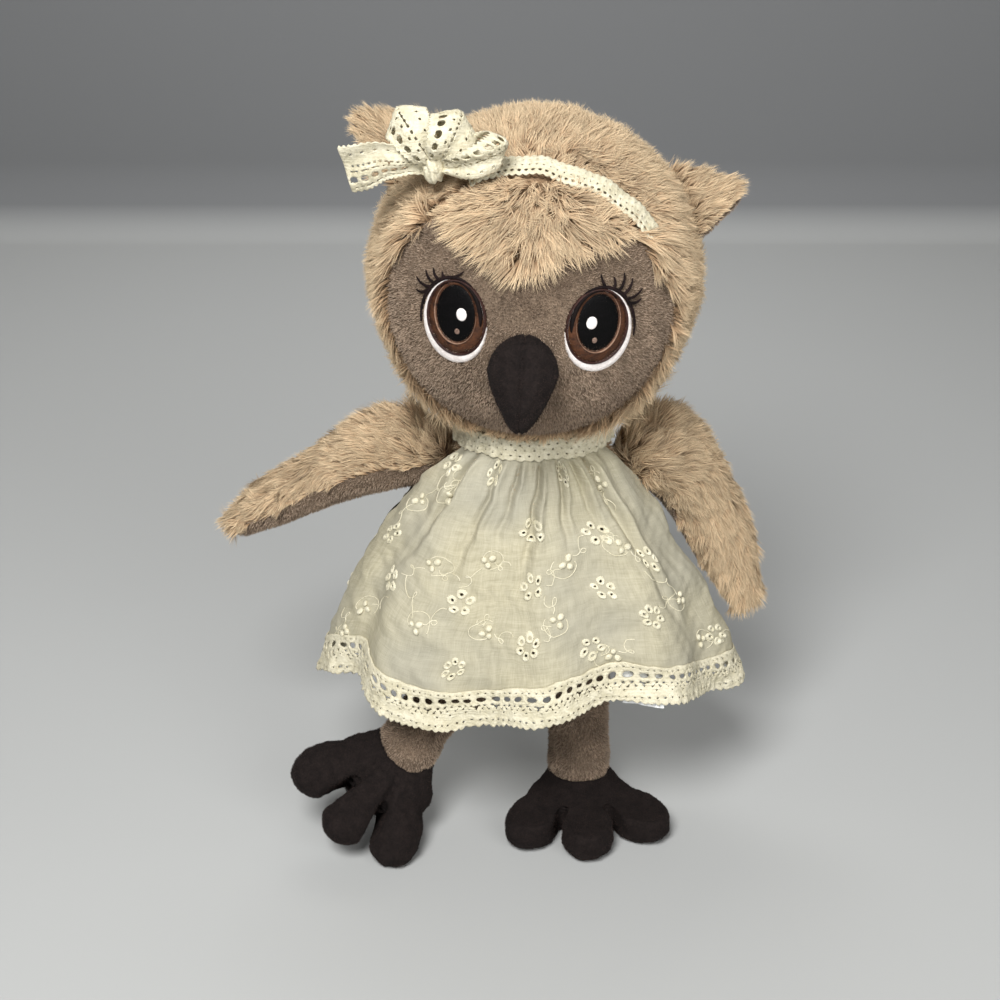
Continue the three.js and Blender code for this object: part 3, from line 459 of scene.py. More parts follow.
# %% A skin round several solids
def skin_of(names, voxel, smoothing):
    """One closed, smooth skin round several solids: its points in millimetres and its quads."""
    rough = piece("rough", *merged([node_mesh(name) for name in names]))
    remesh = rough.modifiers.new("remesh", "REMESH")
    remesh.mode, remesh.voxel_size = "VOXEL", voxel * MM
    soften = rough.modifiers.new("soften", "SMOOTH")
    soften.factor, soften.iterations = 0.5, smoothing
    bpy.context.view_layer.update()
    mesh = bpy.data.meshes.new_from_object(rough.evaluated_get(bpy.context.evaluated_depsgraph_get()))
    points = np.zeros(len(mesh.vertices) * 3)
    mesh.vertices.foreach_get("co", points)
    quads = np.zeros(len(mesh.polygons) * 4, np.int32)
    mesh.polygons.foreach_get("vertices", quads)
    bpy.data.objects.remove(rough)
    bpy.data.meshes.remove(mesh)
    return points.reshape(-1, 3) / MM - ORIGIN, quads.reshape(-1, 4)


# %% Where a pile takes root
def normals_of(points, faces):
    """Smooth normals at the points of a mesh of triangles or quads."""
    a, b, c = points[faces[:, 0]], points[faces[:, 1]], points[faces[:, -1]]
    across = np.cross(b - a, c - a)
    total = np.zeros_like(points)
    for corner in faces.T:
        for axis in range(3):
            total[:, axis] += np.bincount(corner, across[:, axis], len(points))
    return unit(total)


def roots_on(points, faces, density, seed):
    """Points scattered over a skin, so many on a square millimetre, and their normals."""
    rng = np.random.default_rng(seed)
    triangles = np.concatenate([faces[:, [0, 1, 2]], faces[:, [0, 2, 3]]]) if faces.shape[1] == 4 else faces
    normals = normals_of(points, faces)
    a, b, c = (points[triangles[:, k]] for k in range(3))
    areas = np.linalg.norm(np.cross(b - a, c - a), axis=1) / 2
    count = int(areas.sum() * density)
    chosen = rng.choice(len(triangles), count, p=areas / areas.sum())
    r, s = np.sqrt(rng.random(count)), rng.random(count)
    weights = np.stack([1 - r, r * (1 - s), r * s], 1)
    picked = triangles[chosen]
    place = sum(points[picked[:, k]] * weights[:, k:k + 1] for k in range(3))
    normal = unit(sum(normals[picked[:, k]] * weights[:, k:k + 1] for k in range(3)))
    return place, normal


# %% How far off the solids are
def nearest(names, points):
    """How far each point is from a set of solids."""
    trees = [BVHTree.FromPolygons(*(part.tolist() for part in node_mesh(name))) for name in names]
    return np.array([min(tree.find_nearest(point)[3] for tree in trees) for point in points.tolist()])


# %% Smooth noise
WAVE_COUNT = 9


def waves(points, size, seed):
    """Smooth noise with three components, between about -1 and 1, for points in millimetres."""
    rng = np.random.default_rng(seed)
    ways = unit(rng.normal(size=(WAVE_COUNT, 3))) * (2 * math.pi / size)
    ways = ways * rng.uniform(0.6, 1.5, (WAVE_COUNT, 1))
    angles = points @ ways.T
    parts = [np.sin(angles + rng.uniform(0, 2 * math.pi, WAVE_COUNT)).sum(1) for _ in range(3)]
    return np.stack(parts, 1) / math.sqrt(WAVE_COUNT)


# %% [markdown]
# ## Growing a pile
# Fur could be a hair system, but only real mesh is kept when the toy is exported. So each hair is a
# thin bent ribbon that tapers to a point. Hairs near each other lean to the same tip, and that makes
# the soft locks of toy fur. A short pile needs only one small triangle for each hair.

# %% Paint on a pile
def paint_pile(obj, along, chance, lock):
    """Stores for a material how far up its hair each point is, and a shade for the hair and its lock."""
    values = np.ones((len(chance), len(along), 4))
    values[:, :, 0], values[:, :, 1], values[:, :, 2] = along, chance[:, None], lock[:, None]
    layer = obj.data.attributes.new("pile", "FLOAT_COLOR", "POINT")
    layer.data.foreach_set("color", values.astype(np.float32).ravel())


# %% Long pile
HAIR_WIDTH, HAIRS_IN_LOCK = 0.3, 12
HAIR_ROWS = (0.0, 0.5)


def grow(name, roots, normals, flow, length, body, seed, lift, wild=0.3, gather=0.45):
    """Curved hairs that follow a flow over the skin and gather in locks."""
    rng = np.random.default_rng(seed)
    count = len(roots)
    lead = rng.choice(count, max(count // HAIRS_IN_LOCK, 1), replace=False)
    tree = KDTree(len(lead))
    for place, index in enumerate(lead):
        tree.insert(roots[index], place)
    tree.balance()
    own = np.array([tree.find(root)[1] for root in roots.tolist()])
    leader = lead[own]
    shade = rng.random(len(lead))[own]
    way = unit(flow + rng.normal(0, wild, (len(lead), 3))[own] + rng.normal(0, wild * 0.6, (count, 3)))
    way = unit(way - normals * (way * normals).sum(1, keepdims=True))
    reach = (length * rng.uniform(0.78, 1.12, count) * rng.uniform(0.85, 1.12, len(lead))[own])[:, None]
    rise = lift * rng.uniform(0.75, 1.25, (count, 1))
    tip = roots + normals * reach * rise + way * reach * np.sqrt(np.maximum(1 - rise ** 2, 0.1))
    tip = mix(tip, tip[leader] + (roots - roots[leader]) * 0.3, gather)
    middle = roots + normals * reach * rise * 0.75 + way * reach * 0.22 + rng.normal(0, 0.25, (count, 3))
    turn = rng.uniform(-0.45, 0.45, (count, 1))
    thick = HAIR_WIDTH / 2 * rng.uniform(0.8, 1.2, (count, 1))
    corners = []
    for t in HAIR_ROWS:
        point = roots * (1 - t) ** 2 + middle * 2 * t * (1 - t) + tip * t * t
        along = unit((middle - roots) * (1 - t) + (tip - middle) * t)
        side = unit(np.cross(along, normals))
        side = side * np.cos(turn) + np.cross(along, side) * np.sin(turn)
        half = thick * (1 - t * 0.25)
        corners += [point - side * half, point + side * half]
    points = np.stack(corners + [tip], 1)
    start = np.arange(count)[:, None] * points.shape[1]
    obj = piece(name, points.reshape(-1, 3), [start + [0, 1, 3, 2], start + [2, 3, 4]], FUR, body)
    paint_pile(obj, np.repeat(HAIR_ROWS, 2).tolist() + [1.0], rng.random(count), shade)
    print(f"{name}: {count} hairs")
    return obj


# %% Short pile
ROOT_DEPTH = 0.15


def stubble(name, roots, normals, flow, length, body, seed, width=0.34, finish=PLUSH):
    """A short pile: one small leaning triangle for each tuft."""
    rng = np.random.default_rng(seed)
    count = len(roots)
    way = unit(normals + (flow + rng.normal(0, 0.45, (count, 3))) * 0.75)
    side = unit(np.cross(way, rng.normal(size=(count, 3)))) * width / 2
    reach = length * rng.uniform(0.7, 1.15, (count, 1))
    foot = roots - normals * ROOT_DEPTH
    points = np.stack([foot - side, foot + side, roots + way * reach], 1).reshape(-1, 3)
    obj = piece(name, points, np.arange(count * 3).reshape(-1, 3), finish, body)
    paint_pile(obj, [0.15, 0.15, 1], rng.random(count), 0.5 + 0.3 * waves(roots, 9.0, seed)[:, 0])
    print(f"{name}: {count} tufts")
    return obj


# %% [markdown]
# ## The head
# The head is a stuffed ball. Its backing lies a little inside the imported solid, so that the pile on
# it ends where the toy ends. The face is a flat-pile panel let into the front, and it keeps the
# solid's own surface. Fur overhangs its top in a fringe that comes down between the eyes.

# %% Shape of the head
HEAD_RADII = np.array([50.5, 49.0, 50.5])
FACE_RADII = np.array([49.8, 48.6, 49.8])
FACE_HALF_WIDTH, FACE_HALF_HEIGHT, FACE_DROP = 42.0, 41.0, 1.5
BACKING_INSET = 2.6
FRINGE = np.array([(-46, 4), (-41, 10), (-37, 14.5), (-26.5, 21), (-18.6, 17.6), (-9.6, 13.6), (-3, 10),
                   (3, 12.7), (10, 16.6), (19.6, 18.3), (31, 19.5), (37, 11.6), (42, 3)])


def on_face(x, z, lift=0.0):
    """Points of the face panel, in the head's own frame, at a height above its surface."""
    a, b, c = FACE_RADII
    y = -b * np.sqrt(np.clip(1 - (x / a) ** 2 - (z / c) ** 2, 0, 1))
    points = np.stack([x, y, z], -1)
    return points + unit(points / FACE_RADII ** 2) * np.asarray(lift)[..., None]


def in_face(points, raised=0.0, margin=0.0):
    """Whether points of the head's own frame are in the bare part of the face."""
    x, y, z = points.T
    disc = (x / (FACE_HALF_WIDTH + margin)) ** 2 + ((z + FACE_DROP) / (FACE_HALF_HEIGHT + margin)) ** 2 < 1
    return disc & (y < 0) & (z < np.interp(x, *FRINGE.T) + raised)


# %% Head ball
def ball_mesh(radii):
    """The points and triangles of a finely divided ball."""
    made = bmesh.new()
    bmesh.ops.create_icosphere(made, subdivisions=5, radius=1)
    points = np.array([v.co for v in made.verts]) * radii
    faces = np.array([[v.index for v in f.verts] for f in made.faces])
    made.free()
    return points, faces


head_points, head_faces = ball_mesh(HEAD_RADII - BACKING_INSET)
head_skin = piece("head_backing", from_head(head_points), head_faces, FUR_BACKING, "head")
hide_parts("head_cover", "head_filling")
print("head ball", np.ptp(head_points, axis=0).round(1), "mm")

# %% Face panel
FACE_COLUMNS, FACE_ROWS = 180, 60
FACE_TUCK, FACE_THICK = 0.5, 3.2
face_angles = np.arange(FACE_COLUMNS) / FACE_COLUMNS * 2 * math.pi


def face_ring(share):
    """Where a ring round the middle of the face lies, at a share of the way to the panel's edge."""
    x = np.cos(face_angles) * (FACE_HALF_WIDTH + FACE_TUCK) * share
    z = np.sin(face_angles) * (FACE_HALF_HEIGHT + FACE_TUCK) * share - FACE_DROP
    return x, z


reach = np.zeros(FACE_COLUMNS)
for step in np.linspace(0, 1, 240):
    x, z = face_ring(step)
    inside = z < np.interp(x, *FRINGE.T) + 5
    reach = np.where(inside & (reach >= step - 0.006), step, reach)
reach = (reach + np.roll(reach, 1) + np.roll(reach, -1)) / 3
rows = [on_face(*face_ring(reach * (row / FACE_ROWS))) for row in range(FACE_ROWS + 1)]
rows.append(rows[-1] * (1 - FACE_THICK / 50))
face_points = from_head(np.concatenate(rows))
face_faces = grid_faces(FACE_COLUMNS, FACE_ROWS + 1, closed=True)
face_skin = piece("face_plush", face_points, face_faces, PLUSH_BACKING, "head")
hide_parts("face_panel")
roots, _ = roots_on(face_points, face_faces[:FACE_COLUMNS * FACE_ROWS], 7.0, 11)
normals = unit(to_head(roots)) @ HEAD_TURN.T
flow = unit(to_head(roots) * [1, 0, 1]) @ HEAD_TURN.T * 0.5
face_pile = stubble("face_pile", roots, normals, flow, 1.0, "head", 12)

# %% [markdown]
# ## Fur of the head
# The hairs start from a whorl on the forehead. They fall over the face in front, lie out round the
# cheeks, and run to the ear tufts at the sides. The lace band presses them flat. They could be combed
# by hand. Here a formula gives each root its way and length, so a change is one number.

# %% Which way the fur lies
WHORL = np.array([2.5, -33.5, 36.0])
BAND_FORWARD, BAND_HALF, BAND_END = 28.6, 2.0, 24.0
KNOT = np.array([-29.3, -28.4, 39.8])
EARS = {"left": (np.array([38.0, 4, 21]), np.array([68.0, 8, 30])),
        "right": (np.array([-34.0, 4, 31]), np.array([-58.0, 8, 44]))}
HEAD_DENSITY, HEAD_PILE = 5.6, 9.6


def head_flow(points):
    """Which way the fur lies, in the head's own frame."""
    from_whorl = unit(points - WHORL)
    round_face = unit(points * [1, 0, 1] + [0, 0, FACE_DROP]) * 0.9 + [0, 0.35, -0.55]
    high = ease(points[:, 2], -8, 16)[:, None]
    flow = mix(round_face, from_whorl, high)
    at_whorl = 1 - ease(np.linalg.norm(points - WHORL, axis=1), 2, 11)[:, None]
    flow = mix(flow, unit(np.array([0.35, -0.6, -0.7])), at_whorl * 0.75)
    for root, tip in EARS.values():
        near = 1 - ease(np.linalg.norm(points - root, axis=1), 8, 30)[:, None]
        flow = mix(flow, unit(tip - points), near * 0.85)
    return unit(flow) + waves(points, 26.0, 5) * 0.28


# %% How long the fur is
def head_length(points):
    """How long the pile is: full on the crown, shorter at the cheeks, pressed down by the band."""
    from_band = np.abs(points[:, 1] + BAND_FORWARD)
    by_band = (points[:, 2] > BAND_END) & (points[:, 0] > KNOT[0])
    pressed = np.where(by_band, ease(from_band, BAND_HALF, 11), 1)
    knot = ease(np.linalg.norm(points - KNOT, axis=1), 4, 13)
    chin = mix(0.62, 1.0, ease(points[:, 2], -30, 8))
    under = ease(points[:, 2], -44, -36) + ease(np.abs(points[:, 0]), 14, 26) + ease(points[:, 1], -20, 0)
    chin = mix(0.65, np.maximum(chin, 0.8), np.minimum(under, 1))
    chin = chin + 0.4 * ease(np.abs(points[:, 0]), 14, 26) * ease(-points[:, 2], 18, 32)
    return HEAD_PILE * np.minimum(mix(0.4, 1.0, pressed), mix(0.35, 1.0, knot)) * chin


# %% Fur of the head
head_roots, head_normals = roots_on(head_points, head_faces, HEAD_DENSITY, 21)
beside_band = ((np.abs(head_roots[:, 1] + BAND_FORWARD) > BAND_HALF - 0.6) | (head_roots[:, 2] < BAND_END)
               | (head_roots[:, 0] < KNOT[0]))
off_knot = np.linalg.norm(head_roots - KNOT, axis=1) > 4.5
outside = unit(head_roots / HEAD_RADII) * HEAD_RADII
above_brow = mix(5.6, 1.6, ease(np.abs(outside[:, 0] + 2), 27, 37))
kept = ~in_face(outside, raised=above_brow) & beside_band & off_knot
over_face = in_face(outside, raised=60.0, margin=1.0)
head_roots = np.where(over_face[:, None], outside * 0.985, head_roots)[kept]
head_normals = head_normals[kept]
flow, length = head_flow(head_roots) @ HEAD_TURN.T, head_length(head_roots)
head_normals = head_normals @ HEAD_TURN.T
zones = {"head_fur_front": head_roots[:, 1] < -16, "head_fur_back": head_roots[:, 1] > 16}
zones["head_fur_middle"] = ~(zones["head_fur_front"] | zones["head_fur_back"])
for seed, (name, part) in enumerate(zones.items(), 31):
    fur = grow(name, from_head(head_roots[part]), head_normals[part], flow[part], length[part], "head",
               seed, lift=0.42, wild=0.36, gather=0.36)

# %% [markdown]
# ## Ear tufts
# Each ear is a small flat pad that fur hides from above and in front. Its back and lower edge are
# the short brown pile of the face. Both grow on one skin, and the nearer of the ear's two solids
# tells which of them a root gets.

# %% Ears
for side, (root, tip) in EARS.items():
    names = [f"ear_{side}_fur", f"ear_{side}_lining"]
    points, faces = skin_of(names, 0.9, 8)
    local = to_head(points)
    along = ((local - root) @ unit(tip - root))[:, None]
    points = from_head(root + (local - root) * mix(1.0, 0.86, ease(along, 4, 26)))
    skin = piece(f"ear_{side}_skin", points, faces, PLUSH_BACKING, "head")
    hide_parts(*names)
    roots, normals = roots_on(points, faces, 7.0, 41)
    towards = nearest(names[:1], roots) - nearest(names[1:], roots)
    rim = normals @ unit(np.array([0.75, -0.1, -0.65])) if side == "left" else np.full(len(roots), -1.0)
    long, short = (towards < 0.2) & (rim < 0.15), (towards > -0.2) | (rim > 0.1)
    way = (unit(tip - root) @ HEAD_TURN.T)[None, :] + unit(roots - from_head(root[None, :])) * 0.35
    way = way + [0, 0, 0.2]
    length = 7.6 * mix(1.0, 0.35, ease(rim, -0.7, 0.1))
    fur = grow(f"ear_{side}_tuft", roots[long], normals[long], way[long], length[long], "head", 42,
               lift=0.42, wild=0.35)
    pile = stubble(f"ear_{side}_pile", roots[short], normals[short], way[short] * 0.3, 1.0, "head", 43)

# %% [markdown]
# ## Stitched eyes
# The eyes are embroidered. Each ring is satin stitch: threads laid side by side across the ring, so
# its surface is a fan of fine ridges with a rounded edge. Modelling the ridges keeps them in the
# exported mesh. The pupil is filled with upright threads.

# %% Stitching on the face
EYES = {"left": 1, "right": -1}
EYE_SPREAD, EYE_DROP = 20.5, 1.8
THREAD_WIDTH, ACROSS = 0.42, 8
POINTS_IN_THREAD = 4


def stitched(name, side, rows, finish, closed=False):
    """A piece of stitching on the face, from rows of points. The mirrored eye turns its faces over."""
    faces = grid_faces(len(rows[0]) if closed else len(rows[0]) - 1, len(rows) - 1, closed)
    if side < 0:
        faces = faces[:, ::-1]
    return piece(name, from_head(np.concatenate(rows)), faces, finish, "head")


def threads(count, height):
    """A row of rounded threads seen from their ends."""
    return height * np.abs(np.cos(np.arange(count) * math.pi / POINTS_IN_THREAD))


# %% Rings of satin stitch
def stitched_ring(name, side, inner, outer, lift, rise, finish, ends):
    """Satin stitch across the ring between two ovals, or across a part of it."""
    in_ring = int(math.pi * (outer[0] + outer[1]) / THREAD_WIDTH)
    first, last = ends or (0, 360)
    count = max(int(in_ring * (last - first) / 360), 3) * POINTS_IN_THREAD
    angle = np.radians(np.linspace(first, last, count + 1))
    taper = np.sqrt(np.sin(np.linspace(0.02, math.pi - 0.02, count + 1)))
    if ends is None:
        angle, taper = angle[:-1], 1.0
    jitter = np.random.default_rng(int(abs(outer[0]) * 100)).uniform(-0.12, 0.12, (2, len(angle)))
    jitter = np.repeat(jitter[:, ::POINTS_IN_THREAD], POINTS_IN_THREAD, axis=1)[:, :len(angle)]
    rows = []
    for share in np.arange(ACROSS + 1) / ACROSS:
        wide = 0.5 + (share - 0.5) * taper
        half_x = mix(inner[0], outer[0], wide) + jitter[0] * (share > 0.9)
        half_z = mix(inner[1], outer[1], wide) + jitter[1] * (share > 0.9)
        x = side * (EYE_SPREAD + mix(inner[2], outer[2], share) + half_x * np.cos(angle))
        z = -EYE_DROP + mix(inner[3], outer[3], share) + half_z * np.sin(angle)
        crown = math.sqrt(max(1 - (2 * share - 1) ** 2, 0))
        rows.append(on_face(x, z, lift - 0.3 + (rise + 0.3 + threads(len(angle), 0.1)) * crown))
    return stitched(name, side, rows, finish, closed=ends is None)


# %% Ovals of upright stitches
def stitched_fill(name, side, centre, half, lift, rise, finish):
    """An oval filled with upright threads."""
    columns, down = int(half[0] * 2 / THREAD_WIDTH) * POINTS_IN_THREAD, 20
    x = np.linspace(-1, 1, columns + 1)
    tall = np.sqrt(np.clip(1 - x * x, 0, 1))
    rows = []
    for share in 2 * np.arange(down + 1) / down - 1:
        radius = np.sqrt(np.clip(x * x + (share * tall) ** 2, 0, 1))
        crown = np.sqrt(np.clip(1 - radius ** 6, 0, 1))
        rows.append(on_face(side * (EYE_SPREAD + centre[0] + x * half[0]),
                            centre[1] - EYE_DROP + share * tall * half[1],
                            lift - 0.3 + (rise + 0.3 + threads(columns + 1, 0.09)) * crown))
    return stitched(name, side, rows, finish)


# %% Threads of the eyes
def eye_thread(name, dark, light, roughness=0.5, shine=0.2):
    return thread_material(name, dark, light, 2200, 500, 0.00012, roughness, 0.0, shine=shine)


EYE_WHITE = eye_thread("white satin stitch", (214, 205, 200), (246, 240, 236))
EYE_PINK = eye_thread("dull pink stitch", (112, 84, 68), (152, 122, 102))
EYE_BROWN = eye_thread("brown satin stitch", (38, 22, 15), (84, 51, 31))
EYE_SHADE = eye_thread("near black stitch", (8, 5, 5), (24, 15, 13), 0.6, 0.1)
EYE_DARK = eye_thread("dark brown stitch", (34, 20, 18), (62, 38, 32))
EYE_BLACK = eye_thread("black satin stitch", (2, 2, 2), (8, 6, 7), 0.6, 0.08)
EYE_DULL = eye_thread("grey brown stitch", (96, 76, 66), (150, 126, 112))
LASH_THREAD = eye_thread("lash stitch", (14, 9, 9), (36, 25, 25), 0.7, 0.1)
print(len(bpy.data.materials), "materials with the threads of the eyes")

# %% Eyes
IRIS, PUPIL = (-0.6, 1.5), (-0.4, 3.0)
RINGS = [("white", (7.9, 10.2, *IRIS), (9.5, 12.7, 0, 0), 0.35, 0.5, EYE_WHITE, None, "eye_white"),
         ("rim", (8.0, 10.45, *IRIS), (8.85, 11.3, *IRIS), 0.6, 0.5, EYE_DARK, None, "lash_thread"),
         ("iris", (5.3, 8.1, *PUPIL), (8.3, 10.75, *IRIS), 0.45, 0.5, EYE_BROWN, None, "eye_brown"),
         ("line", (5.85, 8.7, *PUPIL), (6.25, 9.1, *PUPIL), 0.75, 0.4, EYE_PINK, (176, 418), "eye_brown"),
         ("shade", (6.0, 8.8, *PUPIL), (8.4, 10.9, *IRIS), 0.85, 0.45, EYE_SHADE, (52, 186), "lash_thread")]
FILLS = [("pupil", PUPIL, (5.85, 8.7), 0.6, 0.45, EYE_BLACK, "eye_black"),
         ("glint", (-2.3, 3.3), (1.6, 2.0), 0.95, 0.45, EYE_WHITE, "eye_white"),
         ("spark", (-1.2, -1.9), (0.8, 0.95), 0.95, 0.35, EYE_DULL, "eye_white")]
for name, side in EYES.items():
    for make, table in ((stitched_ring, RINGS), (stitched_fill, FILLS)):
        for part, *form, slot in table:
            stitching = make(f"eye_{name}_{part}_stitch", side, *form)
            if f"eye_{name}_{part}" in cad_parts:
                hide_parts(f"eye_{name}_{part}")
    print("eye", name, "stitched")

# %% [markdown]
# ## Lashes
# The lashes and the lid are thick lines of stitches that lie on the plush, and thin out to a point.
# They could be painted on the face, but then they would have no edge. A tube along a curve gives each
# line its own round edge and its shadow.

# %% A tube along a path
def tube(path, radii, up, sides=8, flat=1.0, ends=True):
    """The points and faces of a tube along a path. A flat tube is lower than it is wide."""
    along = unit(np.gradient(path, axis=0))
    side = unit(np.cross(along, np.broadcast_to(unit(up), path.shape)))
    top = np.cross(side, along)
    turn = np.arange(sides) / sides * 2 * math.pi
    radii = np.broadcast_to(radii, len(path))[:, None, None]
    ring = side[:, None] * np.cos(turn)[None, :, None] + top[:, None] * np.sin(turn)[None, :, None] * flat
    points = (path[:, None] + ring * radii).reshape(-1, 3)
    faces = [grid_faces(sides, len(path) - 1, closed=True)]
    if ends:
        faces += [np.arange(sides)[None, ::-1], (np.arange(sides) + (len(path) - 1) * sides)[None, :]]
    return points, faces


# %% Curves of the lashes
LASHES = {"right": [((8.3, 7.8), (11.6, 7.0)), ((7.6, 9.0), (11.7, 10.6)), ((6.4, 10.4), (8.9, 13.2)),
                    ((5.0, 11.6), (6.6, 14.3)), ((3.2, 12.4), (3.9, 14.0)), ((0.8, 13.0), (-2.2, 15.2))],
          "left": [((8.3, 7.8), (11.2, 8.6)), ((7.4, 9.2), (11.3, 11.4)), ((6.2, 10.6), (8.3, 14.6)),
                   ((4.8, 11.8), (5.8, 16.4)), ((3.2, 12.5), (3.0, 15.6)), ((1.0, 13.0), (-0.6, 16.6))]}
LID_ENDS, LID_HALF = (-8, 118), (9.9, 13.1)
LASH_ROWS, LID_ROWS = 26, 60
LASH_CURL, INNER_CURL = 0.28, -0.1


def lash_path(side, x, z, lift):
    """A line on the face, given beside the middle of an eye."""
    return from_head(on_face(side * (EYE_SPREAD + x), z - EYE_DROP, np.full(len(x), lift)))


# %% Lashes
for name, side in EYES.items():
    parts = []
    for index, (start, end) in enumerate(LASHES[name]):
        s = np.linspace(0, 1, LASH_ROWS)[:, None]
        a, b = np.array(start), np.array(end)
        bend = (a + b) / 2 + np.array([b[1] - a[1], a[0] - b[0]]) * (LASH_CURL if index < 5 else INNER_CURL)
        flat_path = a * (1 - s) ** 2 + bend * 2 * s * (1 - s) + b * s * s
        path = lash_path(side, *flat_path.T, 0.85)
        twist = 1 + 0.12 * np.sin(np.arange(LASH_ROWS) * 2.1)
        out = path[LASH_ROWS // 2 - 1] - HEAD_CENTRE
        parts.append(tube(path, 0.44 * (1 - 0.6 * s[:, 0] ** 2) * twist, out))
    turn = np.radians(np.linspace(*LID_ENDS, LID_ROWS))
    path = lash_path(side, LID_HALF[0] * np.cos(turn), LID_HALF[1] * np.sin(turn), 0.8)
    thick = 0.22 + 0.34 * np.sin(np.linspace(0, math.pi, LID_ROWS)) ** 0.8
    thick = thick * (1 + 0.1 * np.sin(np.arange(LID_ROWS) * 2.4))
    parts.append(tube(path, thick, path[LID_ROWS // 2] - HEAD_CENTRE))
    lashes = piece(f"lashes_{name}_stitch", *merged(parts), LASH_THREAD, "head")
    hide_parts(f"lashes_{name}")
    print("lashes", name, "stitched")

# %% [markdown]
# ## Beak
# Two curved halves of dark suede cloth meet in a seam that runs down the middle and round the tip.
# The seam pulls the cloth in. Two skins would have to meet all along it, so one skin goes round both
# halves, and a narrow groove is the seam. A nap of tiny tufts keeps the outline soft.

# %% Beak
SUEDE_DENSITY, SUEDE_LENGTH, TUFT_WIDTH = 6.0, 0.5, 0.2
SEAM_WIDTH, SEAM_DEPTH = 0.5, 0.8
BEAK_PARTS = ["beak_left", "beak_right", "beak_filling"]
points, faces = skin_of(BEAK_PARTS, 0.5, 14)
local = to_head(points)
normals = normals_of(local, faces)
down = (local[:, 2].max() - local[:, 2]) / np.ptp(local[:, 2])
aside = local[:, 0] - (local[:, 0].max() + local[:, 0].min()) / 2
seam = SEAM_DEPTH * np.exp(-(aside / SEAM_WIDTH) ** 2)
local = local - normals * seam[:, None] + waves(local, 11.0, 51) * 0.12
local[:, 0] -= aside * (0.08 * np.exp(-((down - 0.68) / 0.2) ** 2) + 0.22 * ease(down, 0.62, 1))
local[:, 2] += np.exp(-(aside / 5) ** 2) * (1 - ease(down, 0, 0.25)) + 0.8 * ease(down, 0.8, 1)
points = from_head(local)
beak = piece("beak_suede", points, faces, SUEDE, "head")
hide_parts(*BEAK_PARTS)
roots, normals = roots_on(points, faces, SUEDE_DENSITY, 52)
beak_nap = stubble("beak_nap", roots, normals, np.array([[0, 0, -0.4]]), SUEDE_LENGTH, "head", 53,
                   TUFT_WIDTH, SUEDE_NAP)

# %% [markdown]
# ## Wings
# Each wing is a flat stuffed arm with long fur on its outer side and short brown pile on its inner
# side. The fur lies along the wing, parts near the edges, and ends in a wispy tip. A bent path
# through the wing tells each root which way to lie. The skin stops short of the solid's end, because
# the last millimetres of the real wing are only hair.

# %% Paths of the wings
WINGS = {"right": [(-36, 1, 132), (-68, 4, 131), (-104, 6, 102)],
         "left": [(34, 1, 132), (57, 25, 127), (76, 17, 66)]}
WING_HANG = {"right": 0.05, "left": -0.25}
SHOULDER, TIP_BACK, TIP_ROUND = 6.5, 3.0, 8


def along_path(controls, points):
    """The share of the way along a bent path nearest to each point, and the path's way and place there."""
    a, b, c = (np.array(p, float) for p in controls)
    shares = np.linspace(0, 1, 40)[:, None]
    path = a * (1 - shares) ** 2 + b * 2 * shares * (1 - shares) + c * shares ** 2
    way = unit((b - a) * (1 - shares) + (c - b) * shares)
    index = np.argmin(((points[:, None] - path[None]) ** 2).sum(2), axis=1)
    return shares[index], way[index], path[index]


# %% Wings
for side, controls in WINGS.items():
    names = [f"wing_{side}_fur", f"wing_{side}_lining", f"wing_{side}_filling"]
    body = f"wing_{side}"
    points, faces = skin_of(names, 1.2, 10)
    share, way, middle = along_path(controls, points)
    off_path = np.linalg.norm(points - middle, axis=1, keepdims=True)
    rounding = ease(share, 0.72, 0.95) * np.minimum(0.035 * off_path ** 2, TIP_ROUND)
    points = points - way * (ease(share, 0.7, 1.0) * TIP_BACK + rounding)
    normals = normals_of(points, faces)
    shoulder = (1 - ease(share[:, 0], 0.2, 0.6)) * ease(share[:, 0], -0.02, 0.06)
    shoulder = shoulder * ease(normals[:, 2], 0, 0.8)
    points = points + [0, 0, 1] * (SHOULDER * shoulder)[:, None]
    towards = nearest(names[:1], points) - nearest(names[1:2], points)
    inset = mix(1.6, 0.3, ease(towards, -0.6, 0.8))[:, None] * ease(share, 0.02, 0.12)
    points = points - normals * inset
    skin = piece(f"wing_{side}_skin", points, faces, FUR_BACKING, body)
    skin.data.materials.append(PLUSH_BACKING)
    skin.data.polygons.foreach_set("material_index", (towards[faces].mean(1) > 0).astype(np.int32))
    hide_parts(*names)
    roots, normals = roots_on(points, faces, 7.0, 61 if side == "left" else 62)
    share, way, _ = along_path(controls, roots)
    towards = nearest(names[:1], roots) - nearest(names[1:2], roots)
    long, short = towards < 0.4, towards > -0.4
    near_root = 1 - ease(share, 0.05, 0.45)
    flow = way + waves(roots, 18.0, 64) * 0.3 + [0, 0, WING_HANG[side]]
    flow = flow + (normals * 0.3 + [0, 0, 0.5]) * near_root
    length = mix(7.2, 9.0, ease(share[:, 0], 0.5, 1.0)) + 1.8 * near_root[:, 0]
    length = length * mix(0.55, 1.0, np.maximum(ease(-towards, 0, 4), ease(share[:, 0], 0.8, 1)))
    fur = grow(f"wing_{side}_pile", roots[long], normals[long], flow[long], length[long], body, 65,
               lift=0.36 + 0.14 * near_root[long], gather=0.4)
    pile = stubble(f"wing_{side}_lining_pile", roots[short], normals[short], flow[short] * 0.4, 1.1, body,
                   66)

# %% [markdown]
# ## Body, neck and legs
# The dress hides most of the body, but its underside and the ends at the neck, wings and hips show
# when the toy is turned over or moved. So its pile is coarse and has few tufts. The legs are tubes of
# short brown pile. A wave that runs down the skin creases them a little above the feet.

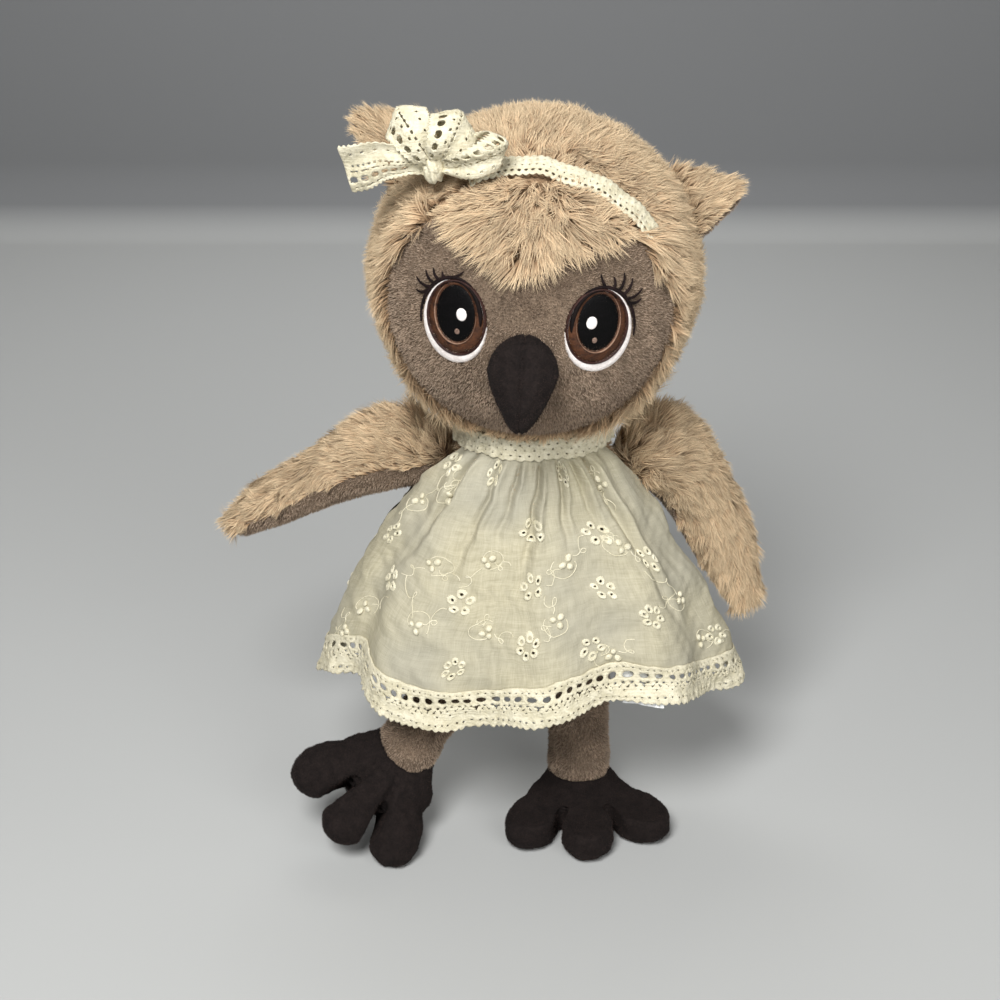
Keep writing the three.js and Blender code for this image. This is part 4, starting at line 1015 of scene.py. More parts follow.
# %% Body and neck
points, faces = skin_of(["body_cover", "body_filling"], 1.6, 6)
body_skin = piece("body_skin", points, faces, FUR_BACKING, "torso")
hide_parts("body_cover", "body_filling")
roots, normals = roots_on(points, faces, 1.6, 71)
pile = stubble("body_pile", roots, normals, np.array([[0, 0, -0.5]]), 2.2, "torso", 72, 0.5, FUR)

points, faces = skin_of(["neck_filling"], 1.0, 8)
neck = piece("neck_skin", points, faces, FUR_BACKING, "neck")
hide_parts("neck_filling")

# %% Legs
LEGS = {"left": ((16.5, -4, 33), (16.5, -5, 13)), "right": ((-37, -14, 46), (-44, -18, 30))}
for side, ends in LEGS.items():
    names = [f"leg_{side}_cover", f"leg_{side}_filling"]
    knee, ankle = (np.array(place, float) for place in ends)
    points, faces = skin_of(names, 0.9, 10)
    down = unit(ankle - knee)
    along = (points - knee) @ down
    crease = np.sin(along * 0.55 + waves(points, 30.0, 73)[:, 0])
    crease = crease * ease(along, 0, np.linalg.norm(ankle - knee))
    points = points + normals_of(points, faces) * (crease * 0.35 + 0.15)[:, None]
    skin = piece(f"leg_{side}_skin", points, faces, PLUSH_BACKING, f"leg_{side}")
    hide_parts(*names)
    roots, normals = roots_on(points, faces, 6.0, 74)
    pile = stubble(f"leg_{side}_pile", roots, normals, down[None, :] * 0.8, 1.3, f"leg_{side}", 75)

# %% [markdown]
# ## Feet
# The feet are three-toed and cut from dark brushed suede cloth. They are softly stuffed, so the
# toes bulge and the cloth puckers between them. Each foot is drawn round its ankle: which way its
# middle toe points, which way is up, and where the two slits between the toes lie, in degrees.

# %% Cloth of a foot
FEET = {"left": ([-16.5, 24.5], [0, -1, 0], [0, 0, 1]),
        "right": ([-19.5, 14.5], [-0.528, -0.78, -0.348], [0.356, -0.575, 0.748])}
SLIT_START, SLIT_HALF, CREASE_HALF, CREASE_DEPTH = 22.0, 1.0, 1.5, 2.0
HEEL_HALF, HEEL_BACK = 8.5, 7.0
CUFF_RADIUS, CUFF_SLOPE = 8.6, 9.0
FLOOR_GAP, SOLE_TUFTS = 0.05, 0.9


def heel_narrowed(points, ankle, forward, left):
    """Draws the back of a foot in towards its ankle."""
    ahead, aside = (points - ankle) @ forward, (points - ankle) @ left
    inwards = np.sign(aside) * np.maximum(np.abs(aside) - HEEL_HALF, 0) * 0.6 * (1 - ease(ahead, -3, 12))
    return points - left * inwards[:, None] + forward * (np.maximum(-ahead - HEEL_BACK, 0) * 0.4)[:, None]


def toes_parted(points, faces, slit, ankle, forward, left):
    """Cuts the slit between two toes back to its start, and creases the cloth before it."""
    turn = math.radians(slit)
    way = forward * math.cos(turn) + left * math.sin(turn)
    across = -forward * math.sin(turn) + left * math.cos(turn)
    along, aside = (points - ankle) @ way, (points - ankle) @ across
    narrow = np.exp(-(aside / SLIT_HALF) ** 2)
    points = points - way * (np.maximum(along - SLIT_START, 0) * narrow)[:, None]
    crease = np.exp(-(aside / CREASE_HALF) ** 2) * ease(along, 9, 19)
    return points - normals_of(points, faces) * (crease * CREASE_DEPTH)[:, None]


def cuff_lowered(points, ankle, shin):
    """Slopes the cloth down from the ankle, so that it stays close round the leg."""
    height = (points - ankle) @ shin
    off_shin = np.linalg.norm(points - ankle - height[:, None] * shin, axis=1)
    slope = height.max() - CUFF_SLOPE * (1 - np.exp(-np.maximum(off_shin - CUFF_RADIUS, 0) / 4.5))
    return points - shin * np.maximum(height - slope, 0)[:, None]


# %% Feet
for side, (slits, forward, up) in FEET.items():
    names = [f"foot_{side}_upper", f"foot_{side}_sole", f"foot_{side}_filling"]
    knee, ankle = (np.array(place, float) for place in LEGS[side])
    forward = unit(np.array(forward, float))
    left = unit(np.cross(np.array(up, float), forward))
    points, faces = skin_of(names, 0.8, 45)
    points = points + normals_of(points, faces) * 0.7
    points = heel_narrowed(points, ankle, forward, left)
    for slit in slits:
        points = toes_parted(points, faces, slit, ankle, forward, left)
    points = cuff_lowered(points, ankle, unit(knee - ankle))
    puckers = waves(points, 13.0, 81)[:, :1] * 0.2 + waves(points, 4.0, 82)[:, :1] * 0.12
    points = points + normals_of(points, faces) * puckers
    points[:, 2] = np.maximum(points[:, 2], FLOOR_GAP)
    skin = piece(f"foot_{side}_suede", points, faces, SUEDE, f"foot_{side}")
    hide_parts(*names)
    roots, normals = roots_on(points, faces, SUEDE_DENSITY, 83)
    clear = roots[:, 2] > SOLE_TUFTS
    tufts = stubble(f"foot_{side}_nap", roots[clear], normals[clear], forward[None, :] * 0.4, SUEDE_LENGTH,
                    f"foot_{side}", 84, TUFT_WIDTH, SUEDE_NAP)
    print(f"foot_{side}: {len(points)} points")

# %% [markdown]
# ## The dress
# The dress is two flared panels of cotton voile, gathered under a lace neck band. Its shape follows
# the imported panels: an oval at the band, wider and deeper at the hem, with soft folds. The looks add
# the finer pleats that fan out under the band, and the punched eyelets. Every point is given by the
# angle round from the front and its fall from the band to the hem. A fold is a place in degrees, a
# share of the full depth and a width; a crease runs from one angle to another until a fall. Cloth
# could be left to fall by simulation, but a formula gives the same folds each time, and the
# stitching can follow it.

# %% Measures of the dress
BODY_CENTRE = np.array([-1.0, -4.0, 0.0])
COLLAR_BOTTOM, COLLAR_TOP = 141.6, 148.2
BAND_WIDTH, BAND_DEPTH = 24.76, 21.43
HEM_WIDTH, HEM_FRONT, HEM_BACK, HEM_HEIGHT, HEM_LIFT = 70.5, 44.0, 42.0, 51.0, 13.0
HEM_LIFTS = [(24, 1, 36), (-61, 0.88, 24)]
FLARE = np.array([(0, 0), (0.05, 0.11), (0.1, 0.18), (0.2, 0.29), (0.35, 0.49), (0.55, 0.71), (0.8, 0.91),
                  (1, 1)])
FOLDS = [(-62, -1.4, 9), (-42, 1.1, 12), (-14, -0.9, 9), (4, 1, 9), (22, -0.7, 9), (40, 0.9, 10),
         (62, -1, 11), (84, 0.7, 12), (112, -0.9, 12), (138, 0.9, 12), (162, -0.9, 12), (188, 1, 12),
         (214, -0.9, 12), (240, 1, 12), (268, 0.8, 12)]
CREASES = [(4, -6, 0.5, 3.4, 1.7), (16, 13, 0.4, 2.8, 1.6), (36, 50, 0.7, 3.8, 2.3),
           (-43, -56, 0.5, 2.8, 2.2), (-22, -33, 0.5, 2.6, 2.0), (25, 31, 0.34, 2.4, 1.6),
           (-9, -16, 0.32, 2.2, 1.6), (150, 146, 0.4, 1.2, 2.6), (178, 180, 0.45, 1.4, 2.6),
           (206, 212, 0.4, 1.2, 2.6), (240, 247, 0.4, 1.1, 2.6)]
FOLD_DEPTH, PLEAT_DEPTH, PRESS_DEPTH, PRESS_PLACE = 3.8, 1.0, 10, (112, 1, 26)
LACE_HEIGHT = 12.5
FRONT_EDGE, BACK_EDGE = (63, 0.3), (40, 0.5)


# %% Shape of the dress
def bumps(table, degrees):
    total = np.zeros_like(degrees)
    for place, share, wide in table:
        turn = (degrees - place + 180) % 360 - 180
        total += share * np.exp(-(turn / wide) ** 2)
    return total


def hem_at(degrees):
    return HEM_HEIGHT + HEM_LIFT * bumps(HEM_LIFTS, degrees)


def on_dress(degrees, fall, lift=0.0):
    """Points of the dress, a height above its cloth."""
    degrees, fall = np.broadcast_arrays(np.asarray(degrees, float), np.asarray(fall, float))
    angle = np.radians(degrees)
    flare = np.interp(fall, *FLARE.T)
    depth = mix(HEM_BACK, HEM_FRONT, (1 + np.cos(angle)) / 2)
    press = PRESS_DEPTH * np.exp(-((fall - 0.36) / 0.3) ** 2) * np.minimum(fall / 0.36, 1)
    ripple = FOLD_DEPTH * fall * bumps(FOLDS, degrees) - press * bumps([PRESS_PLACE], degrees)
    for start, end, until, deep, wide in CREASES:
        turn = (degrees - mix(start, end, fall / until) + 180) % 360 - 180
        strength = np.clip(1 - fall / until, 0, 1) ** 0.7 * ease(fall, 0, 0.05)
        ripple = ripple - strength * deep * (np.exp(-(turn / wide) ** 2)
                                             - 0.55 * np.exp(-((turn - wide * 2.1) / wide) ** 2))
    gathers = np.sin(degrees * 0.42 + 1.3 * np.sin(degrees * 0.13) + 2.0 * np.sin(degrees * 0.051))
    ripple = ripple + gathers * PLEAT_DEPTH * ease(fall, 0, 0.03) * np.exp(-fall / 0.17)
    wide = mix(BAND_WIDTH, HEM_WIDTH, flare) + ripple + lift
    deep = mix(BAND_DEPTH, depth, flare) + ripple + lift
    top = COLLAR_BOTTOM + 1.2
    height = top - fall * (top - hem_at(degrees))
    points = np.stack([wide * np.sin(angle), -deep * np.cos(angle), height], -1) + BODY_CENTRE
    rumple = waves(points.reshape(-1, 3), 17.0, 91).reshape(points.shape)
    small = waves(points.reshape(-1, 3), 6.0, 92).reshape(points.shape)
    calm = ease(fall, 0.0, 0.2)[..., None]
    return points + (rumple * 0.5 + small * 0.15) * calm


# %% Edges of the panels
def side_edge(fall, angle, until):
    """How far round a panel reaches at each fall: less at the top, where it leaves room for a wing."""
    return mix(angle, 90.6, ease(fall, 0, until))


def on_panel(place):
    """Whether a sprig at this angle and fall has cloth all round it."""
    turn = abs((place[0] + 180) % 360 - 180)
    return turn < side_edge(place[1], *FRONT_EDGE) - 7 or 180 - turn < side_edge(place[1], *BACK_EDGE) - 7


def lace_fall(degrees):
    return 1 - LACE_HEIGHT / (COLLAR_BOTTOM + 1.2 - hem_at(degrees))


print("hem at the front, side and back:", hem_at(np.array([0.0, 90, 180])).round(1), "mm")


# %% [markdown]
# ## Embroidery of the dress
# Broderie anglaise repeats a small sprig: five or six punched eyelets round a middle, three padded
# dots, and a thin curling stem between them. On the front, the sprigs are placed where they show in
# the photograph, by a ray from the camera to the cloth. The sides and the back repeat them evenly.

# %% The cloth seen from the camera
FLOWERS_SEEN = [(496, 473), (563, 474), (453, 463), (532, 528), (392, 532), (648, 558), (392, 578),
                (532, 588), (603, 590), (460, 602), (653, 618), (527, 648), (592, 647), (455, 670),
                (716, 633), (596, 532)]
DOTS_SEEN = [(420, 500), (452, 498), (433, 563), (365, 608), (487, 632), (567, 563), (558, 620), (600, 483),
             (622, 545), (680, 597), (415, 627), (613, 655), (488, 562), (345, 630), (700, 640)]
PIXELS = 1000
LOOK_COLUMNS, LOOK_ROWS = 400, 100
look_degrees, look_falls = np.linspace(-100, 100, LOOK_COLUMNS + 1), np.linspace(0, 1, LOOK_ROWS + 1)
look_grid = on_dress(*np.meshgrid(look_degrees, look_falls))
look_tree = BVHTree.FromPolygons(look_grid.reshape(-1, 3).tolist(),
                                 grid_faces(LOOK_COLUMNS, LOOK_ROWS).tolist())
sight = unit(SIGHT - CAMERA)
across_view = unit(np.cross(sight, [0.0, 0, 1]))
up_view = np.cross(across_view, sight)


def seen_at(pixel):
    """The angle and fall of the dress under a pixel of the photograph's frame."""
    right, down = pixel[0] - PIXELS / 2, pixel[1] - PIXELS / 2
    ray = sight * (LENS / SENSOR * PIXELS) + across_view * right - up_view * down
    hit = look_tree.ray_cast(Vector(CAMERA), Vector(unit(ray)))[0]
    if hit is None:
        return None
    near = np.argmin(((look_grid - np.array(hit)) ** 2).sum(2))
    row, column = divmod(int(near), len(look_degrees))
    return look_degrees[column], look_falls[row]


# %% Where the sprigs are
flowers = [place for place in map(seen_at, FLOWERS_SEEN) if place]
dots = [place for place in map(seen_at, DOTS_SEEN) if place]
BACK_FROM, BACK_TO = 84, 276
for row in range(5):
    for column in range(13):
        place = (BACK_FROM + column * 15.5 + (row % 2) * 7.7, 0.16 + row * 0.155)
        if BACK_FROM < place[0] < BACK_TO:
            (flowers if (row + column) % 2 else dots).append(place)
flowers = [place for place in flowers if on_panel(place) and place[1] < lace_fall(place[0]) - 0.045]
dots = [place for place in dots if on_panel(place) and place[1] < lace_fall(place[0]) - 0.03]
print(len(flowers), "flowers and", len(dots), "groups of dots")


# %% Millimetres on the cloth
def beside(place, right, down, lift=0.0):
    """Points of the dress some millimetres to the right of and below a place."""
    degrees, fall = place
    step = on_dress(np.array([degrees - 0.5, degrees + 0.5]), np.array([fall, fall]))
    per_degree = np.linalg.norm(step[1] - step[0])
    step = on_dress(np.array([degrees, degrees]), np.array([fall - 0.01, fall + 0.01]))
    per_fall = np.linalg.norm(step[1] - step[0]) / 0.02
    return on_dress(degrees + np.asarray(right) / per_degree, fall + np.asarray(down) / per_fall, lift)


# %% Eyelets, stems and dots
PETAL_STITCHES, PETAL_ROWS, PETAL_REACH = 30, 5, 2.75
STEM_RADIUS, DOT_RADIUS, DOT_REACH = 0.19, 1.1, 1.6


def petal(place, turn):
    """A ring of satin stitch round one eyelet, longest away from the flower's middle."""
    stitch, across = np.meshgrid(np.arange(PETAL_STITCHES), np.linspace(0, 1, PETAL_ROWS + 1))
    angle = stitch / PETAL_STITCHES * 2 * math.pi
    outer = 1.25 + 0.5 * np.clip(np.cos(angle - turn), 0, 1) + 0.22 * (stitch % 2)
    reach = mix(0.45, outer, across)
    lift = -0.12 + (0.55 + 0.12 * (stitch % 2)) * np.sqrt(np.clip(1 - (2 * across - 1) ** 2, 0, 1))
    right, down = PETAL_REACH * math.cos(turn), PETAL_REACH * math.sin(turn)
    holes.append(beside(place, right, down))
    points = beside(place, right + reach * np.cos(angle), down + reach * np.sin(angle), lift)
    return points.reshape(-1, 3), grid_faces(PETAL_STITCHES, PETAL_ROWS, closed=True)


def stem(place, right, down):
    """A line of stitches on the cloth, given in millimetres from a place."""
    path = beside(place, right, down, 0.1)
    out = (path[len(path) // 2] - BODY_CENTRE) * [1, 1, 0]
    return tube(path, STEM_RADIUS, out, sides=5, flat=0.8, ends=False)


def dot(place, turn):
    """A padded dot, longer away from the middle of its group."""
    s = np.linspace(-1, 1, 7)
    reach = DOT_REACH + s * 1.15
    path = beside(place, math.cos(turn) * reach, math.sin(turn) * reach, 0.2)
    out = path[3] - BODY_CENTRE - [0, 0, path[3][2]]
    return tube(path, DOT_RADIUS * np.sqrt(np.clip(1.02 - s * s, 0.02, 1)), out, flat=0.7, ends=False)


# %% Sprigs
rng = np.random.default_rng(95)
holes, sprig_parts = [], []
for place in flowers:
    count = int(rng.integers(5, 7))
    start = rng.uniform(0, 2 * math.pi)
    sprig_parts += [petal(place, start + k * 2 * math.pi / count) for k in range(count)]
flower_points = np.array([on_dress(*place) for place in flowers])
t = np.linspace(0, 1, 70)
loop = 2 * math.pi * ease(t, 0.25, 0.7)
for place in dots:
    start = rng.uniform(0, 2 * math.pi)
    sprig_parts += [dot(place, start + k * 2 * math.pi / 3) for k in range(3)]
    here = on_dress(*place)
    right_way = unit(beside(place, 1.0, 0.0) - here)
    down_way = unit(beside(place, 0.0, 1.0) - here)
    away = flower_points - here
    for near in np.argsort(np.linalg.norm(away, axis=1))[1::-1]:
        goal = np.array([away[near] @ right_way, away[near] @ down_way])
        far = np.linalg.norm(goal)
        if 8 < far < 26:
            ahead = goal / far
            run = 2.6 + (far - 7.2) * t + 1.3 * np.sin(loop)
            swing = 1.2 * np.sin(t * 2 * math.pi) + 1.3 * (1 - np.cos(loop))
            sprig_parts.append(stem(place, run * ahead[0] - swing * ahead[1],
                                    run * ahead[1] + swing * ahead[0]))
    turn = math.atan2(goal[1], goal[0]) + math.pi + 0.5 + 3.6 * t
    reach = 2.6 + 3.2 * np.sin(t * math.pi * 0.8)
    sprig_parts.append(stem(place, np.cos(turn) * reach, np.sin(turn) * reach * 0.8))
sprigs = piece("dress_embroidery", *merged(sprig_parts), EMBROIDERY, "torso")
print(len(holes), "eyelets on", len(sprig_parts), "pieces of stitching")


# %% Dress panels
PANEL_COLUMNS, PANEL_ROWS = 300, 118
EYELET_RADIUS = 0.82


def dress_panel(name, middle, angle, until, solid):
    """One panel, with its armhole edges and its eyelets punched out."""
    share, down = np.meshgrid(np.linspace(-1, 1, PANEL_COLUMNS + 1), np.linspace(0, 1, PANEL_ROWS + 1))
    degrees = middle + share * side_edge(down, angle, until)
    fall = down * lace_fall(degrees) * 1.003
    points = on_dress(degrees, fall).reshape(-1, 3)
    tree = KDTree(len(points))
    for index, point in enumerate(points.tolist()):
        tree.insert(point, index)
    tree.balance()
    moved = np.zeros(len(points), bool)
    for hole in holes:
        for _, index, _ in tree.find_range(hole.tolist(), EYELET_RADIUS):
            points[index] = hole + unit(points[index] - hole) * EYELET_RADIUS
            moved[index] = True
    faces = grid_faces(PANEL_COLUMNS, PANEL_ROWS)
    faces = faces[~moved[faces].all(1)]
    obj = piece(name, points, faces, COTTON, "torso")
    layer = obj.data.uv_layers.new(name="cloth")
    lay = np.stack([(degrees * 0.9).ravel(), (fall * 90).ravel()], 1)
    layer.data.foreach_set("uv", lay[faces.ravel()].astype(np.float32).ravel())
    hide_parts(solid)
    print(f"{name}: {sum(p.area for p in obj.data.polygons) * 1e4:.0f} square centimetres")
    return obj


dress_front = dress_panel("dress_front_cloth", 0, *FRONT_EDGE, "dress_front")
dress_back = dress_panel("dress_back_cloth", 180, *BACK_EDGE, "dress_back")


# %% [markdown]
# ## Lace
# Cotton lace is a strip with real holes: a row of large oval eyelets, nets of small ones, and an edge
# of fine picots. One function makes every strip. It lays a fine grid, moves the points near a hole
# on to the hole's edge, takes out the faces inside, and raises a rim of thread round each hole.
# The strip then bends on to any surface that it is given.

# %% Holes in a strip
RIM_WIDTH = 0.35


def punched(u, v, holes_at, step):
    """A strip's grid with its points moved on to the holes' edges: also what is inside, and the rims."""
    rim = np.zeros_like(u)
    snapped, inside = np.zeros(u.shape, bool), np.zeros(u.shape, bool)
    cell_u, cell_v = u[0, 1] - u[0, 0], v[1, 0] - v[0, 0]
    for hole_u, hole_v, half_u, half_v in holes_at:
        i0, i1 = int((hole_u - half_u) / cell_u) - 2, int((hole_u + half_u) / cell_u) + 3
        j0, j1 = int((hole_v - half_v) / cell_v) - 2, int((hole_v + half_v) / cell_v) + 3
        part = (slice(max(j0, 0), j1), slice(max(i0, 0), i1))
        away_u, away_v = (u[part] - hole_u) / half_u, (v[part] - hole_v) / half_v
        far = np.hypot(away_u, away_v) + 1e-9
        small = min(half_u, half_v)
        near = (np.abs(far - 1) * small < step * 0.62) & ~snapped[part]
        u[part] = np.where(near, hole_u + away_u / far * half_u, u[part])
        v[part] = np.where(near, hole_v + away_v / far * half_v, v[part])
        inside[part] |= (far < 1) & ~near
        snapped[part] |= near
        rim[part] = np.maximum(rim[part], np.exp(-((np.maximum(far, 1) - 1) * small / RIM_WIDTH) ** 2))
    return u, v, inside.ravel(), snapped.ravel(), rim


# %% Edges of a strip
def border_of(faces, count):
    """The edges that only one face has."""
    pairs = np.concatenate([faces[:, [k, (k + 1) % 4]] for k in range(4)])
    keys = np.sort(pairs, 1)
    code = keys[:, 0].astype(np.int64) * count + keys[:, 1]
    _, first, times = np.unique(code, return_index=True, return_counts=True)
    return pairs[first[times == 1]]


# %% A strip of lace
WEAVE = 0.1


def lace_strip(name, surface, length, width, holes_at, step, body, picot, pitch, closed=False,
               both_edges=True, thick=0.45, relief=0.3):
    """Lace of its own thickness on a surface, with holes and scalloped edges."""
    columns, rows = int(round(length / step)), max(int(round(width / step)), 3)
    u, v = np.meshgrid(np.linspace(0, length, columns + 1), np.linspace(0, width, rows + 1))
    if closed:
        u, v = u[:, :-1].copy(), v[:, :-1].copy()
    u, v, inside, snapped, rim = punched(u, v, holes_at, step)
    scallop = picot * (1 - np.abs(np.sin(u / pitch * math.pi)) ** 0.8)
    v = v - ease(v, width * 0.72, width) * scallop
    if both_edges:
        v = v + (1 - ease(v, 0, width * 0.28)) * scallop
    faces = grid_faces(columns, rows, closed)
    faces = faces[~(inside[faces].any(1) | snapped[faces].all(1))]
    base = surface(u / length, v / width, 0.0)
    normal = unit(surface(u / length, v / width, 1.0) - base)
    raised = (rim * relief + WEAVE * np.sin(u * 5.1) * np.sin(v * 6.3))[..., None]
    points = np.concatenate([base + normal * raised, base - normal * thick]).reshape(-1, 3)
    count = len(points) // 2
    border = border_of(faces, count)
    walls = np.stack([border[:, 1], border[:, 0], border[:, 0] + count, border[:, 1] + count], 1)
    faces = np.concatenate([faces, faces[:, ::-1] + count, walls])
    used = np.unique(faces)
    renumber = np.zeros(len(points), np.int64)
    renumber[used] = np.arange(len(used))
    obj = piece(name, points[used], renumber[faces], LACE, body)
    print(f"{name}: {len(faces)} faces, {len(holes_at)} holes")
    return obj


# %% Hem lace
HEM_WIDE = 12.6
hem_degrees = np.linspace(0, 360, 721)
hem_line = on_dress(hem_degrees, np.full(len(hem_degrees), 0.97))
hem_lengths = np.concatenate([[0], np.cumsum(np.linalg.norm(np.diff(hem_line, axis=0), axis=1))])
HEM_LENGTH = float(hem_lengths[-1])
EYELET_COUNT = int(round(HEM_LENGTH / 4.3))
eyelet_pitch = HEM_LENGTH / EYELET_COUNT
HEM_NET = [(0.0, 1.35, 0.4, 0.3), (0.5, 1.35, 0.4, 0.3), (0.0, 5.5, 0.5, 0.42), (0.5, 5.5, 0.5, 0.42),
           (0.25, 6.7, 0.42, 0.4), (0.75, 6.7, 0.42, 0.4), (0.0, 7.8, 0.36, 0.34), (0.0, 10.4, 0.45, 0.4),
           (0.5, 10.4, 0.45, 0.4)]


def hem_surface(u, v, lift):
    degrees = np.interp(u * HEM_LENGTH, hem_lengths, hem_degrees) - 180
    fall = mix(lace_fall(degrees) - 0.014, 1.0, v)
    flutter = ease(v, 0.3, 1) * 0.25 * np.sin(degrees * 1.9 + 2 * np.sin(degrees * 0.21))
    return on_dress(degrees, fall, 0.55 + lift + flutter)


hem_holes = []
for k in range(EYELET_COUNT):
    hem_holes.append(((k + 0.5) * eyelet_pitch, 3.4, 1.4, 0.95))
    hem_holes += [((k + 0.25 + shift) * eyelet_pitch, *net) for shift, *net in HEM_NET]
hem = lace_strip("hem_lace_trim", hem_surface, HEM_LENGTH, HEM_WIDE, hem_holes, 0.5, "torso", 0.9,
                 eyelet_pitch / 2, closed=True, both_edges=False)
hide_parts("hem_lace")

# %% Neck band
NECK_LENGTH, NECK_WIDE, NECK_SCALLOPS = 148.0, 6.3, 54


def neck_surface(u, v, lift):
    angle = (u - 0.5) * 2 * math.pi
    ruffle = 0.3 * np.sin(angle * 31) * ease(v, 0.2, 1) + 0.25 * np.sin(angle * 13 + 1)
    out = 0.7 + lift + ruffle + 0.5 * ease(v, 0.5, 1)
    points = np.stack([(BAND_WIDTH + out) * np.sin(angle), -(BAND_DEPTH + out) * np.cos(angle),
                       mix(COLLAR_TOP + 1.1, COLLAR_BOTTOM + 0.5, v) + 0.3 * np.sin(angle * 7)], -1)
    return points + BODY_CENTRE


neck_pitch = NECK_LENGTH / NECK_SCALLOPS
neck_holes = [((k + 0.5) * neck_pitch, row, 0.42, 0.26) for k in range(NECK_SCALLOPS) for row in (1.6, 4.7)]
neck_holes += [((k + 1) * neck_pitch, 3.1, 0.36, 0.24) for k in range(NECK_SCALLOPS - 1)]
collar = lace_strip("neck_band_lace", neck_surface, NECK_LENGTH, NECK_WIDE, neck_holes, 0.4, "torso", 0.6,
                    neck_pitch, closed=True, relief=0.4)
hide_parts("dress_collar")

# %% [markdown]
# ## Headband and bow
# The same lace, narrower, runs over the crown from the bow to the ear. The bow has three loops and one
# short tail, bent from flat strips and a little crumpled, and a ridged ball of lace for its knot.

# %% Headband
BAND_FROM, BAND_TO = 118.0, 30.0
BAND_WIDE, BAND_PITCH = 5.6, 2.0


def band_radius(y):
    """How far the head's surface is from its left-right axis, at a depth."""
    return HEAD_RADII[0] * np.sqrt(1 - (y / HEAD_RADII[1]) ** 2)


def band_surface(u, v, lift):
    angle = np.radians(mix(BAND_FROM, BAND_TO, u))
    sway = 0.6 * np.sin(u * 9) + 0.3 * np.sin(u * 23)
    y = -BAND_FORWARD + (0.5 - v) * BAND_WIDE + sway
    points = np.stack([band_radius(y) * np.cos(angle), y, band_radius(y) * np.sin(angle)], -1)
    lift = lift + 0.5 + 0.25 * np.sin(u * 41)
    return from_head(points + unit(points / HEAD_RADII ** 2) * lift[..., None])


BAND_LENGTH = float(band_radius(BAND_FORWARD)) * math.radians(BAND_FROM - BAND_TO)
band_pairs = int(BAND_LENGTH / BAND_PITCH)
band_holes = [((k + 0.5) * BAND_PITCH, 4.3, 0.6, 0.42) for k in range(band_pairs)]
band_holes += [((k + 1) * BAND_PITCH, row, 0.32, 0.28) for k in range(band_pairs - 1) for row in (1.3, 2.8)]
band = lace_strip("headband_lace", band_surface, BAND_LENGTH, BAND_WIDE, band_holes, 0.4, "head", 0.5,
                  BAND_PITCH)
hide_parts("headband")


# %% A smooth curve
def smooth_path(controls, shares):
    """A smooth curve through a few points."""
    controls = np.array(controls, float)
    full = np.concatenate([[2 * controls[0] - controls[1]], controls, [2 * controls[-1] - controls[-2]]])
    place = shares * (len(controls) - 1)
    index = np.minimum(place.astype(int), len(controls) - 2)
    t = (place - index)[..., None]
    a, b, c, d = (full[index + k] for k in range(4))
    bent = (2 * a - 5 * b + 4 * c - d) * t ** 2 + (3 * b - a - 3 * c + d) * t ** 3
    return 0.5 * (2 * b + (c - a) * t + bent)


# %% A ribbon along a curve
def ribbon_surface(controls, side, width, narrow, crumple, seed, bow_out=0.0):
    """A strip along a curve, narrower towards the knot. A loop's outer fold bows out in the middle."""
    side = unit(np.array(side, float))
    outward = unit(np.array(controls, float).mean(0) - KNOT)

    def surface(u, v, lift):
        before, after = np.maximum(u - 0.01, 0), np.minimum(u + 0.01, 1.0)
        along = unit(smooth_path(controls, after) - smooth_path(controls, before))
        flat = unit(np.cross(along, side))
        wide = np.cross(flat, along)
        across = ((v - 0.5) * width * narrow(u))[..., None]
        folds = crumple * (np.sin(v * 9 + u * 4 + seed) * 0.5 + np.sin(u * 15 + seed) * 0.35)
        rounding = (bow_out * (2 * v - 1) ** 2 * np.sin(math.pi * u) ** 2)[..., None]
        middle = smooth_path(controls, u)
        return from_head(middle + wide * across + flat * (lift + folds)[..., None] - outward * rounding)

    return surface


# %% Loops of the bow
BOW = {"bow_loop_upper": ([-9.5, -4, 14.5], [0.75, 0.1, 0.65], 14.5, 4.2, 1),
       "bow_loop_middle": ([7, -5, 14.5], [0.9, 0.2, -0.45], 15.0, 5.0, 2),
       "bow_loop_left": ([20, -8, 7.5], [0.1, 0.35, -0.93], 11.5, 4.2, 3)}
LOOP_PITCH, LOOP_CRUMPLE, LOOP_BOW = 3.4, 1.3, 4.2
LOOP_NET = ((0.0, 0.4), (0.25, 0.52), (-0.25, 0.52), (0.0, 0.8))


def loop_narrow(u):
    return mix(0.28, 1.0, np.sin(math.pi * u) ** 0.7)


for name, (reach, side, width, swell, seed) in BOW.items():
    reach = np.array(reach, float)
    puff = unit(np.cross(reach, side)) * swell
    end = KNOT + reach
    controls = [KNOT + puff * 0.3, mix(KNOT, end, 0.55) + puff, end + puff * 0.4, end - puff * 0.4,
                mix(KNOT, end, 0.55) - puff, KNOT - puff * 0.3]
    line = smooth_path(controls, np.linspace(0, 1, 60))
    length = float(np.linalg.norm(np.diff(line, axis=0), axis=1).sum())
    count = int(length / LOOP_PITCH)
    pitch = length / count
    holes_at = [((k + 0.5) * pitch, width * 0.2, 1.2, 1.05) for k in range(count)]
    holes_at += [((k + shift) * pitch, width * row, 0.5, 0.46)
                 for k in range(1, count) for shift, row in LOOP_NET]
    surface = ribbon_surface(controls, side, width, loop_narrow, LOOP_CRUMPLE, seed, LOOP_BOW)
    loop = lace_strip(name + "_lace", surface, length, width, holes_at, 0.45, "head", 0.7, pitch / 2,
                      thick=0.4)
    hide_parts(name)

# %% Tail of the bow
TAIL_REACH, TAIL_SIDE = np.array([-25.0, -4.0, -2.0]), [-0.1, -0.3, 0.95]
TAIL_LENGTH, TAIL_WIDTH, TAIL_HOLES = 25.5, 16.0, 8
TAIL_NET = ((0.0, 6.9), (0.5, 6.9), (0.25, 8.4), (-0.25, 8.4), (0, 1.5), (0.5, 1.5), (0.0, 12.5))


